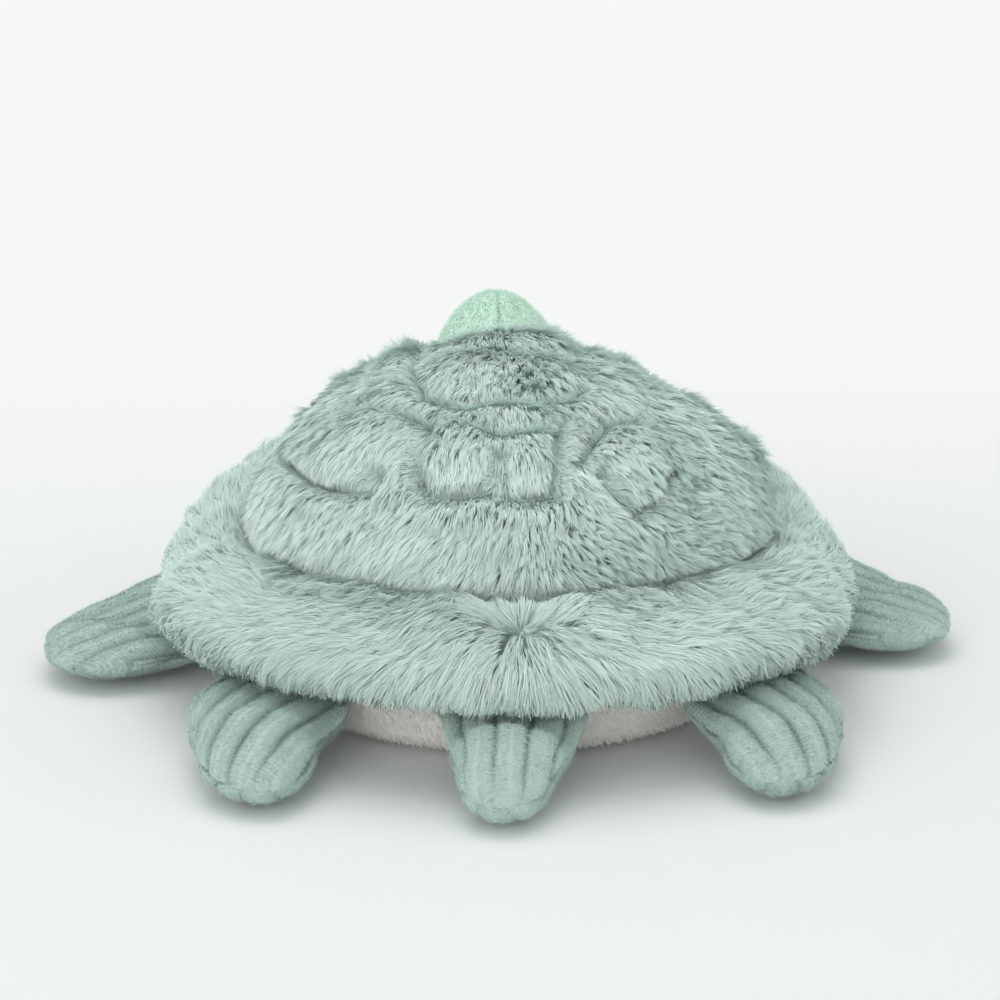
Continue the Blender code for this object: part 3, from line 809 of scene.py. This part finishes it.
def strand_material(name, dark, light):
    """Strands from root to tip, between a darker and a lighter one by their tone."""
    material, tree, shader = new_material(name, 0.85, 0.15)
    along = field(tree, "along")
    mix = new_node(tree, "Mix")
    mix.data_type = "RGBA"
    feed(tree, mix, {0: field(tree, "tone"), 6: ramp(tree, along, dark), 7: ramp(tree, along, light)})
    feed(tree, shader, {"Base Color": mix.outputs[2]})
    return material


def grained(tree, shader, scale, detail, strength, distance):
    """Give the shader a fine grain, and return the noise of it."""
    place = new_node(tree, "TexCoord").outputs["Object"]
    noise = new_node(tree, "TexNoise", {"Scale": scale, "Detail": detail, "Vector": place}).outputs["Fac"]
    grain = new_node(tree, "Bump", {"Strength": strength, "Distance": distance, "Height": noise})
    feed(tree, shader, {"Normal": grain.outputs["Normal"]})
    return noise


def cloth_material(name, dark, light, scale, strength, sheen=0.2):
    """A backing fabric: mottled between two colours, with a fine grain."""
    material, tree, shader = new_material(name, 0.95, sheen)
    noise = grained(tree, shader, scale, 4.0, strength, 0.0006)
    feed(tree, shader, {"Base Color": ramp(tree, noise, ((0.3, dark), (0.7, light)))})
    return material


def ribbed_material(name, groove, crest):
    """Backing of the ribbed plush: darker in the grooves than on the worn crests, with painted shade in
    the grooves.
    """
    material, tree, shader = new_material(name, 0.95, 0.2)
    grained(tree, shader, 1800.0, 2.0, 0.5, 0.0005)
    feed(tree, shader, {"Base Color": ramp(tree, field(tree, "crest"), ((0.0, groove), (0.80, crest)))})
    return material


fur_material = strand_material(
    "sage_fur_strands",
    ((0.0, (0.45, 0.56, 0.51)), (0.5, (0.60, 0.735, 0.68)), (1.0, (0.68, 0.81, 0.76))),
    ((0.0, (0.58, 0.70, 0.65)), (0.5, (0.78, 0.91, 0.86)), (1.0, (0.88, 0.975, 0.94))),
)
fur_backing = cloth_material("sage_fur_backing", (0.44, 0.54, 0.49), (0.54, 0.64, 0.59), 400.0, 0.4)
rib_material = strand_material(
    "ribbed_plush_strands",
    ((0.0, (0.20, 0.285, 0.25)), (1.0, (0.34, 0.445, 0.40))),
    ((0.0, (0.42, 0.54, 0.485)), (1.0, (0.69, 0.815, 0.755))),
)
# Groove colour dark as painted shade; crest colour lighter, as the crests are worn
rib_backing = ribbed_material("ribbed_plush_backing", (0.13, 0.20, 0.17), (0.46, 0.585, 0.53))
belly_material = strand_material(
    "cream_plush_strands",
    ((0.0, (0.86, 0.81, 0.77)), (1.0, (0.92, 0.885, 0.85))),
    ((0.0, (0.92, 0.89, 0.86)), (1.0, (0.985, 0.965, 0.945))),
)
belly_backing = cloth_material("cream_plush_backing", (0.88, 0.84, 0.80), (0.94, 0.91, 0.88), 500.0, 0.3)
mint_material = strand_material(
    "mint_plush_strands",
    ((0.0, (0.62, 0.84, 0.71)), (1.0, (0.78, 0.93, 0.83))),
    ((0.0, (0.76, 0.93, 0.82)), (1.0, (0.93, 0.99, 0.95))),
)
mint_backing = cloth_material("mint_plush_backing", (0.60, 0.81, 0.70), (0.70, 0.88, 0.78), 600.0, 0.3)


# Shell

quilting_points = []
overhung = []
for number, line in enumerate(quilting_lines):
    marks = np.array([on_shell(pixel, shell_skin_inset) for pixel in line])
    reach = running(lengths(np.diff(marks, axis=0)))
    steps = np.linspace(0.0, reach[-1], max(2, int(reach[-1] / quilting_pace)))
    quilting_points.append(np.stack([np.interp(steps, reach, marks[:, k]) for k in range(3)], -1))
    overhung.append(np.full(len(steps), 1.0 if number in overhung_lines else 0.0))
quilting_points = np.concatenate(quilting_points)
overhung = np.concatenate(overhung)
mounds = [(on_shell(pixel, shell_skin_inset), radius, rise) for pixel, radius, rise in quilting_mounds]


def folded(points):
    """Points of the front half laid over the rear half, whose quilting they repeat."""
    laid = points.copy()
    laid[..., 1] = -np.abs(laid[..., 1])
    return laid


def nearest_seam(points):
    """The step from the nearest point of the quilting, its length, and if fur hangs over there."""
    laid = folded(points)
    found = nearest(laid.reshape(-1, 3), quilting_points)
    step = laid - quilting_points[found].reshape(laid.shape)
    step[..., 1] = np.where(points[..., 1] > 0.0, -step[..., 1], step[..., 1])
    return step, lengths(step), overhung[found].reshape(laid.shape[:-1])


def from_pixel(points, pixel):
    """The steps to points from the place of the shell at a pixel, or its like in the front half."""
    return folded(points) - on_shell(pixel, shell_skin_inset)


shell_ripple = make_ripple(11, 0.034)
shell_fine_ripple = make_ripple(12, 0.013)


def shell_relief(points):
    """How far the dome's skin stands out or in: mounds, seams and soft unevenness."""
    laid = folded(points)
    height = 0.0009 * shell_ripple(points) + 0.0005 * shell_fine_ripple(points)
    for place, radius, rise in mounds:
        height = height + rise * bump(lengths(laid - place), radius)
    return height - groove_depth * bump(nearest_seam(points)[1], groove_width)


rows, columns = shell_mesh
shell_patch = Patch(
    shell_grid(around(columns), np.linspace(0.0, 0.995, rows), shell_skin_inset), False, -1.0)
shell_patch.push(shell_relief(shell_patch.points))
shell_skin = skin("shell_skin", shell_patch, fur_backing, close_end=True)

places = shell_patch.scatter(fur_per_square_mm)
places = chosen(places, ~inside_roll(places["point"], roll_skin_inset + 0.002))
point, out = places["point"], places["out"]
seam_step, seam_distance, hung = nearest_seam(point)
from_rear = wrapped(bearing_of(point) + 0.5 * math.pi)
radius = radius_of(point)
forward = ease(point[:, 1], -0.015, 0.07)
rear = 1.0 - forward
low_band = 1.0 - ease(point[:, 2], 0.066, 0.024)
summit = ease(point[:, 2], 0.084, 0.016)

# Combed downhill at the rear and to the rear at the front, leaning away from a line down the back
spread = smooth_step(radius / 0.055) * rear
comb = -places["row"] * spread[:, None] + np.array((0.0, -1.0, 0.0)) * (0.45 + 0.55 * forward)[:, None]
comb = flattened(comb, out)
divide = 2.0 * smooth_step(0.5 + (from_rear - 0.10) / 0.9) - 1.0
lean = np.where(divide > 0.0, 0.95, 0.62) * divide * (0.25 + 0.75 * low_band) * rear
swerve = 0.26 * shell_ripple(point) + 0.18 * shell_fine_ripple(point)
ruffled = ease(from_rear, 0.02, 0.25) * rear * (1.0 - 0.5 * summit)
comb = turned_by(comb, out, lean + swerve * (0.6 + 0.6 * ruffled))

# Parted from the seams below them, and fanned out from the tuft at the side
away = unit(seam_step)
side_of_seam = dot(away, comb)[:, 0]
near = 1.0 - ease(seam_distance, 0.0020, 0.0040)
edge = ease(seam_distance, 0.0040, 0.0020) * (1.0 - ease(seam_distance, 0.0060, 0.0035))
below = smooth_step(0.5 + 1.5 * side_of_seam)
comb = unit(comb * (1.0 - 0.85 * near * below)[:, None] + away * (0.9 * near * below)[:, None])
from_tuft = from_pixel(point, side_tuft)
tufted = bump(lengths(from_tuft), 0.017)
comb = unit(comb * (1.0 - 0.8 * tufted)[:, None] + unit(from_tuft) * (0.8 * tufted)[:, None])

# Lifted off the seams' edges, and cut short where strands would lie across a seam
lift = 0.52 - 0.26 * summit + 0.16 * ruffled + (0.08 + 0.08 * ruffled) * shell_ripple(point * 1.3)
lift = lift * (1.0 - 0.72 * near) + near * (1.0 - below) * (0.10 + 0.45 * hung)
lift = lift + 0.20 * edge * below * (1.0 - 0.7 * summit) + 0.35 * tufted
length = shell_pile * (1.0 - 0.40 * near * below) * (1.0 + 0.10 * shell_fine_ripple(point) + 0.25 * tufted)
room = (seam_distance + 0.0004 + 0.0020 * hung) / np.cos(np.clip(lift, 0.0, 1.1))
crossing = (side_of_seam < -0.15) & (seam_distance < 0.011)
length = np.where(crossing, np.minimum(length, np.maximum(room, 0.0030)), length)

# Painted shade low on the right and painted light low on the left, as the light falls from the left;
# lighter at the top
tone = 0.24 + 0.08 * shell_ripple(point * 0.8 + 3.0) + 0.14 * near * below
tone = tone + near * (1.0 - below) * (0.10 - 0.22 * hung) + 0.36 * summit
# Painted shade: darker low on the right
tone = tone - 0.50 * ease(from_rear, 0.05, 0.25) * low_band * rear
# Painted light: lighter low on the left
tone = tone + 0.22 * ease(-from_rear, 0.10, 0.40) * low_band * rear

# Ruffled spots, and the fluff that stands up on the skyline
spots = np.zeros(len(point))
for pixel, reach in ruffled_spots:
    spots = np.maximum(spots, bump(lengths(from_pixel(point, pixel)), reach))
skyline = bump(point[:, 1] - 0.52 * (point[:, 2] - shell_base_height), 0.011) * (radius > 0.02)
skyline = skyline * (0.5 + 0.5 * shell_ripple(point * 1.6 + 2.0))
look = {
    "length": length * (1.0 + 0.12 * skyline),
    "lift": lift + (0.22 * spots + 0.32 * skyline) * (1.0 - 0.6 * near),
    "bow": 0.32 - 0.12 * summit - 0.20 * near,
    "tone": tone - 0.12 * spots * (1.0 - 0.8 * summit),
    "gathered": 0.34 + 0.16 * ruffled - 0.24 * near,
    "unruly": (0.13 + 0.10 * ruffled + 0.22 * spots + 0.10 * np.abs(skyline)) * (1.0 - 0.8 * near),
}
in_groove = (seam_distance < 0.0008) & (rng.uniform(size=len(point)) < 0.9)
body_pieces = [shell_skin]
body_pieces += fur_in_parts(
    "shell_fur", shell_fur_parts, shell_patch, places, comb, look, ~in_groove, shell_tuft, False,
    lambda tips: inside_roll(tips, shell_fur_sink))

# Roll round the shell

roll_ripple = make_ripple(21, 0.040)
roll_fine_ripple = make_ripple(22, 0.015)
rows, columns = roll_mesh
roll_patch = Patch(roll_grid(around(rows), around(columns), roll_skin_inset), True, 1.0)
roll_patch.push(0.0012 * roll_ripple(roll_patch.points) + 0.0006 * roll_fine_ripple(roll_patch.points))
roll_skin = skin("roll_skin", roll_patch, fur_backing)
body_pieces.append(roll_skin)

places = roll_patch.scatter(fur_per_square_mm)
point = places["point"]
tucked = (radius_of(point) < shell_radius + 0.001) & (point[:, 2] < rim_height(bearing_of(point)))
places = chosen(places, ~(inside_body(point, 0.0075) | tucked))
point = places["point"]

# Where each strand stands: along the roll from the swirl, and round its section from the parting
# and from the top
bearing = bearing_of(point)
from_swirl = wrapped(bearing - swirl_bearing)
wide, thick = across_roll(point, roll_skin_inset)
turn = np.arctan2(thick, wide)
side_reach = np.abs(from_swirl) * (shell_radius + rim_overhang)
layered = ease(side_reach, 0.010, 0.014)
parting = swirl_turn + (layer_turn - swirl_turn) * layered
parting = parting + (parting_turn_side - layer_turn) * ease(np.abs(from_swirl), 0.6, 0.5)
parting = parting + 0.14 * layered * np.sin(bearing * 9.0 + 1.0)
off_parting = wrapped(turn - parting)
fallen = wrapped(swirl_turn - turn)
upper = smooth_step(0.5 + off_parting / 0.16)
across_reach = np.abs(off_parting) * 0.5 * (0.5 * rim_width + 0.5 * rim_thickness)
from_centre = np.hypot(side_reach, across_reach)

# Fanned out and down from the swirl, and straight away from its centre
forward_way = places["row"] * np.sign(from_swirl)[:, None]
upward_way = places["column"] * np.where(off_parting > 0.0, 1.0 - 2.0 * layered, -1.0)[:, None]
low_fan = 0.60 - 0.36 * ease(side_reach, 0.012, 0.035) + 0.80 * ease(fallen, 0.8, 0.7)
high_fan = 0.74 + layered * (0.50 - 0.50 * ease(side_reach, 0.06, 0.05))
fan = low_fan + (high_fan - low_fan) * upper
ahead = np.minimum(side_reach / 0.016, 1.0) * np.cos(fan)
aside = np.maximum(np.minimum(across_reach / 0.008, 1.0), layered) * np.sin(fan)
radial = 1.0 - ease(from_centre, 0.008, 0.014)
ahead = ahead * (1.0 - radial) + radial * side_reach / np.maximum(from_centre, 1e-6)
aside = aside * (1.0 - radial) + radial * across_reach / np.maximum(from_centre, 1e-6)
comb = unit(forward_way * ahead[:, None] + upward_way * aside[:, None])
swerve = 0.20 * roll_ripple(point) + 0.18 * roll_fine_ripple(point)
comb = turned_by(comb, places["out"], swerve * smooth_step(from_centre / 0.020))
hanging = ease(fallen, 0.5, 0.6)
comb = comb + np.array((0.0, 0.0, -0.60)) * hanging[:, None]

# Upright at the swirl, lifted on its shelf and at the eaves, long where it hangs free
near_parting = (1.0 - smooth_step(across_reach / 0.004)) * (1.0 - layered)
near_centre = 1.0 - smooth_step(from_centre / 0.006)
upright = np.maximum(0.30 * near_parting, 0.8 * near_centre)
shelf = bump(fallen - 0.70, 0.16) * (1.0 - ease(side_reach, 0.045, 0.03))
eaves = upper * layered * bump(off_parting, 0.22)
lift = 0.42 + 0.12 * roll_ripple(point * 1.2) + 0.24 * shelf + 0.26 * eaves
lift = lift + (1.20 - lift) * upright
length = roll_pile * (1.0 + 0.10 * roll_fine_ripple(point)) * (1.0 - 0.30 * upright)
over_limbs = ease(fallen, 2.1, 0.5)
length = length * (1.0 + 0.22 * hanging * (1.0 - over_limbs) - 0.30 * over_limbs)
crisp = smooth_step(0.5 + roll_ripple(point * 0.7 + 9.0))
# Painted shade on the roll's left rear, where the light from the left falls more strongly
left_rear_painted_shade = ease(-from_swirl, 0.10, 0.30) * (1.0 - ease(-from_swirl, 0.95, 0.35))
# Painted shade along the parting; lighter on the shelf and at the eaves
tone = -0.12 + 0.10 * roll_ripple(point * 0.8 + 3.0) - 0.06 * near_parting + 0.10 * shelf + 0.10 * eaves
look = {
    "length": length,
    "lift": lift,
    "bow": np.full(len(point), 0.34),
    "tone": tone - 0.26 * left_rear_painted_shade,
    "gathered": 0.46 + 0.10 * crisp,
    "unruly": 0.10 + 0.07 * crisp,
}
body_pieces += fur_in_parts(
    "roll_fur", roll_fur_parts, roll_patch, places, comb, look, True, roll_tuft, True,
    lambda tips: inside_body(tips, roll_fur_sink))

# Belly

rows, columns = belly_mesh
belly_patch = Patch(belly_grid(around(columns), rows, short_skin_inset), False, -1.0)
belly_patch.points[:2] = belly_patch.points[0].mean(axis=0)
belly_patch.measure()
belly_skin = skin("belly_skin", belly_patch, belly_backing)
places = belly_patch.scatter(belly_pile_per_square_mm)
places = chosen(places, ~inside_roll(places["point"], 0.004))
belly_pile = fuzz(
    "belly_pile", places, places["column"] * 0.6 - places["row"] * 0.8, short_pile, 0.7,
    belly_pile_width, 0.5 + 0.2 * make_ripple(31, 0.045)(places["point"]), belly_material)
body_pieces += [belly_skin, belly_pile]
for piece in body_pieces:
    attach(piece, "body")

# Limbs

# Each has its name, bearing and swing in degrees, sizes, settling and stations, then the shift of
# its ribs, the slant of those beneath, the side of its core, the bearing of the ribs and its tone.
limbs = (
    ("front_flipper_left", 155.5, 65.0, flipper_sizes, flipper_settling, flipper_stations,
     0.30, 0.85, 1, None, 0.0),
    ("front_flipper_right", 35.0, -62.0, flipper_sizes, flipper_settling, flipper_stations,
     0.30, -0.85, -1, None, 0.12),
    ("hind_foot_left", 222.5, 41.0, foot_sizes, limb_settling, foot_stations,
     0.0, 0.5, 0, 246.0, 0.04),
    ("hind_foot_right", 323.0, -43.0, foot_sizes, limb_settling, foot_stations,
     0.0, -0.5, 0, 294.0, 0.0),
    ("tail", 271.6, -7.0, tail_sizes, limb_settling, tail_stations,
     0.1, 0.2, 0, 268.0, 0.38),
)


def make_limb(name, bearing_deg, swing_deg, sizes, settling, stations,
              rib_shift, under_slant, core_side, rib_bearing, tone_shift):
    """A limb's ribbed skin and its pile. The ribs of a flipper turn round a core at its tip."""
    rows, columns = limb_mesh
    alongs = 1.0 - (1.0 - np.linspace(0.0, 1.0, rows)) ** 1.25
    turns = around(columns)
    grid = limb_grid(bearing_deg, swing_deg, sizes, settling, stations, alongs, turns, ribbed_skin_inset)
    patch = Patch(grid, False, -1.0)
    half = columns // 2
    step = lengths(np.diff(grid, axis=1, append=grid[:, :1]))
    girth = np.cumsum(step, axis=1) - step
    middle = grid.mean(axis=1)
    stride = lengths(np.diff(middle, axis=0))
    run = running(stride)[:, None]

    # How far each point is across the ribs, on the top and beneath
    over = girth - girth[:, half // 2][:, None]
    along_rib = run * np.ones_like(girth)
    if rib_bearing is not None:
        off_rib = wrapped(bearing_of(np.gradient(middle, axis=0)) - math.radians(rib_bearing))
        off_rib[:12], off_rib[-30:] = off_rib[12], off_rib[-30]
        advance = np.concatenate(((0.0,), stride))
        drift = -np.cumsum(np.sin(off_rib) * advance)
        drift = drift - drift[len(drift) // 2]
        along_rib = np.cumsum(np.cos(off_rib) * advance)[:, None] + over * np.sin(off_rib)[:, None]
        over = over * np.cos(off_rib)[:, None] + drift[:, None]
    beneath = girth - girth[:, half + half // 2][:, None]
    beneath = beneath * math.cos(under_slant) + run * math.sin(under_slant)
    is_top = (np.arange(columns) < half)[None, :] * np.ones(limb_mesh)
    seam = smooth_step(np.abs(np.sin(turns)) / 0.09)[None, :] * np.ones(limb_mesh)
    if core_side != 0:
        rest = step.sum(axis=1)[:, None] - girth
        opposite = np.abs(girth - girth[:, half][:, None])
        from_seam = np.minimum(girth, rest) if core_side > 0 else opposite
        past_core = np.maximum(run - (run[-1] - flipper_core_reach), 0.0)
        capped = smooth_step(past_core / 0.004)
        over = np.hypot(from_seam, past_core * 1.15)
        is_top = np.maximum(is_top, capped)
        seam = np.maximum(seam, capped)

    # Ribs that fade at the side seam and the tip, and the striations across them
    ribs = np.where(is_top > 0.5, over, beneath) / rib_pitch + rib_shift + 0.5
    ribs = ribs + 0.035 * make_ripple(41, 0.03)(grid)
    place = ribs % 1.0
    crest = 1.0 - np.abs(2.0 * place - 1.0) ** 4.0
    to_tip = 1.0 - alongs
    crest = crest * (1.0 - (1.0 - seam) * (0.35 + 0.65 * smooth_step(to_tip / 0.25))[:, None])
    crest = 1.0 - (1.0 - crest) * (0.20 + 0.80 * smooth_step(to_tip / 0.20))[:, None]
    ripple = make_ripple(42, 0.022)(grid)
    wander = 0.9 * make_ripple(44, 0.010)(grid)
    striation = np.sin(along_rib * (2.0 * math.pi / striation_pitch) + wander)
    strength = striation_depth * (1.0 - 0.45 * crest) * (0.75 + 0.35 * make_ripple(45, 0.016)(grid))
    patch.push(-(1.0 - crest) * rib_depth + 0.00035 * ripple + strength * striation)
    patch.points[..., 2] = np.maximum(patch.points[..., 2], floor_gap + 0.0002)
    patch.measure()
    # Painted shade in the rib grooves and the striations' troughs, lighter on the worn crests
    shade = np.clip(crest * (0.86 + 0.08 * ripple) + 0.09 * striation + 0.5 * tone_shift, 0.0, 1.0)
    patch.fields = {"crest": shade, "place": place, "striation": striation}
    body = skin(name + "_skin", patch, rib_backing, close_end=True, close_start=True)

    # Pile, thin where the limb lies on the floor and in the striations
    places = patch.scatter(ribbed_pile_per_square_mm)
    height = places["point"][:, 2]
    places = chosen(places, (height > 0.0022) | (rng.uniform(size=len(height)) < 0.35))
    striation = places["striation"]
    bare = (striation < -0.4) & (rng.uniform(size=len(striation)) < 0.75)
    places = chosen(places, ~bare)
    side = np.where(places["place"] > 0.5, 1.0, -1.0)[:, None]
    comb = places["column"] * side * 0.9 + places["row"] * 0.15
    # Pile darker in the grooves and the striations' troughs as painted shade; lighter on the worn crests
    tone = 0.10 + 0.66 * places["crest"] + 0.12 * make_ripple(43, 0.018)(places["point"])
    tone = tone + 0.20 * places["striation"] + tone_shift
    pile = fuzz(name + "_pile", places, comb, ribbed_pile, 0.80, ribbed_pile_width, tone, rib_material)
    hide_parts(name + "_top", name + "_under", name + "_stuffing")
    for piece in (body, pile):
        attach(piece, name)


for limb in limbs:
    make_limb(*limb)

# Head

def points_of(node):
    """The points of a node of the frame."""
    return np.array([vertex.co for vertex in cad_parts[node].data.vertices])


def eye_line(side):
    """The middle of an eye, and the way from its washer to it."""
    centre = points_of("eye_" + side).mean(axis=0)
    return centre, unit(centre - points_of("eye_washer_" + side).mean(axis=0))


rows, columns = head_mesh
head_turns = around(columns)
head_points = head_grid(1.0 - (1.0 - np.linspace(0.0, 1.0, rows)) ** 1.3, head_turns, short_skin_inset)
smooth_rows(head_points, 24)
head_patch = Patch(head_points, False, -1.0)
middle_seam = np.minimum(np.abs(np.sin(head_turns)) / 0.07, 1.0)
middle_seam = smooth_step(middle_seam)[None, :] * np.ones(head_mesh)
head_patch.push(-0.0012 * (1.0 - middle_seam) + 0.0005 * make_ripple(51, 0.03)(head_patch.points))
head_patch.fields = {"seam": middle_seam}
head_skin = skin("head_skin", head_patch, mint_backing, close_start=True, close_end=True)
places = head_patch.scatter(head_pile_per_square_mm)
for side in ("left", "right"):
    centre, axis = eye_line(side)
    step = places["point"] - centre
    height = step @ axis
    aside = lengths(step - height[:, None] * axis)
    places = chosen(places, (aside > eye_radius - 0.0002) | (height < -0.012))
head_pile = fuzz(
    "head_pile", places, -places["row"] * 0.9 - np.array((0.0, 0.0, 0.3)), short_pile, 0.75,
    head_pile_width, 0.42 + 0.42 * places["seam"] + 0.12 * make_ripple(52, 0.02)(places["point"]),
    mint_material)
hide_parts("head_panel_left", "head_panel_right", "head_stuffing")
for piece in (head_skin, head_pile):
    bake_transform(piece)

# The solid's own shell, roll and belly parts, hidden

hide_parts("shell_panel_left", "shell_panel_right", "body_stuffing")
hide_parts("rim_cover_left", "rim_cover_right", "rim_stuffing")
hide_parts("belly_panel")

# Eyes

eye_material, _, eye_shader = new_material("eye_gloss", 0.08)
eye_shader.inputs["Base Color"].default_value = (*eye_colour, 1.0)
eye_shader.inputs["Specular IOR Level"].default_value = 0.5
washer_material = cloth_material(
    "washer_plastic", (0.70, 0.70, 0.68), (0.78, 0.78, 0.76), 300.0, 0.1, 0.0)


def make_eye(side):
    """A smooth domed eye on its stem, where the solid has it, and the washer's own plastic."""
    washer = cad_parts["eye_washer_" + side]
    washer.data.materials.clear()
    washer.data.materials.append(washer_material)
    node = "eye_" + side
    centre, axis = eye_line(side)
    top = max((points_of(node) - centre) @ axis)
    edge = top - eye_bulge
    ball = (eye_radius ** 2 + eye_bulge ** 2) / (2.0 * eye_bulge)
    opening = math.asin(eye_radius / ball)
    profile = [(eye_stem_radius, edge - eye_stem_length), (eye_stem_radius, edge - 0.0006)]
    profile += [(eye_radius * 0.80, edge - 0.0006), (eye_radius * 0.97, edge - 0.0004)]
    for angle in np.linspace(opening, 0.02, 26):
        profile.append((ball * math.sin(angle), top - ball + ball * math.cos(angle)))
    first = unit(np.cross(axis, np.array((0.0, 0.0, 1.0))))
    second = np.cross(axis, first)
    spins = around(64)
    wheel = first * np.cos(spins)[:, None] + second * np.sin(spins)[:, None]
    rings = np.array([centre + axis * height + wheel * radius for radius, height in profile])
    eye = skin(node + "_dome", Patch(rings, False, -1.0), eye_material, close_start=True, close_end=True)
    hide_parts(node)
    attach(eye, "head")


for side in ("left", "right"):
    make_eye(side)

# Floor, light and camera

floor_material, floor_tree, floor_shader = new_material("studio_paper", 0.9)
floor_shader.inputs["Base Color"].default_value = (*paper_colour, 1.0)
place = new_node(floor_tree, "TexCoord")
split = new_node(floor_tree, "SeparateXYZ", {0: place.outputs["Object"]})
distance = new_node(floor_tree, "MapRange")
distance.interpolation_type = "SMOOTHSTEP"
feed(floor_tree, distance, {"From Min": haze_start, "From Max": haze_end, "Value": split.outputs["Y"]})
path = new_node(floor_tree, "LightPath").outputs
seen = path["Is Camera Ray"]
for kind in ("Is Glossy Ray", "Is Transmission Ray"):
    seen = math_node(floor_tree, "MAXIMUM", seen, path[kind])
share = math_node(floor_tree, "MULTIPLY", distance.outputs[0], seen)
haze = new_node(floor_tree, "Emission", {"Color": (*haze_colour, 1.0)})
both = new_node(floor_tree, "MixShader", {0: share, 1: floor_shader.outputs[0], 2: haze.outputs[0]})
feed(floor_tree, floor_tree.nodes["Material Output"], {"Surface": both.outputs[0]})
sweep = np.array([((-sweep_reach, y, z), (sweep_reach, y, z)) for y, z in sweep_profile])
sweep_faces = []
for row in range(len(sweep) - 1):
    a, b, c, d = 2 * row, 2 * row + 1, 2 * row + 3, 2 * row + 2
    sweep_faces += [(a, b, c), (a, c, d)]
backdrop = new_piece("studio_backdrop", sweep.reshape(-1, 3), np.array(sweep_faces), floor_material)

world = bpy.data.worlds.new("studio")
world.use_nodes = True
background = world.node_tree.nodes["Background"]
background.inputs["Color"].default_value = (*world_colour, 1.0)
background.inputs["Strength"].default_value = world_strength
bpy.context.scene.world = world


def soft_light(name, place, aim, size, power, colour, spread):
    """A square soft box that faces a point."""
    data = bpy.data.lights.new(name, "AREA")
    data.shape = "SQUARE"
    data.size = size
    data.energy = power
    data.spread = spread
    data.color = colour
    lamp = bpy.data.objects.new(name, data)
    lamp.location = place
    lamp.rotation_euler = Vector(np.array(aim) - np.array(place)).to_track_quat("-Z", "Y").to_euler()
    bpy.context.scene.collection.objects.link(lamp)


for lamp in lamps:
    soft_light(*lamp)

camera_data = bpy.data.cameras.new("camera")
camera_data.sensor_width = sensor_width
camera_data.lens = focal_pixels / frame_pixels * sensor_width
camera_data.clip_start = 0.01
camera_data.clip_end = 20.0
camera = bpy.data.objects.new("camera", camera_data)
camera.location = camera_place
camera.rotation_euler = (0.5 * math.pi - camera_elevation, 0.0, 0.0)
bpy.context.scene.collection.objects.link(camera)
bpy.context.scene.camera = camera
bpy.context.scene.view_settings.view_transform = "Standard"
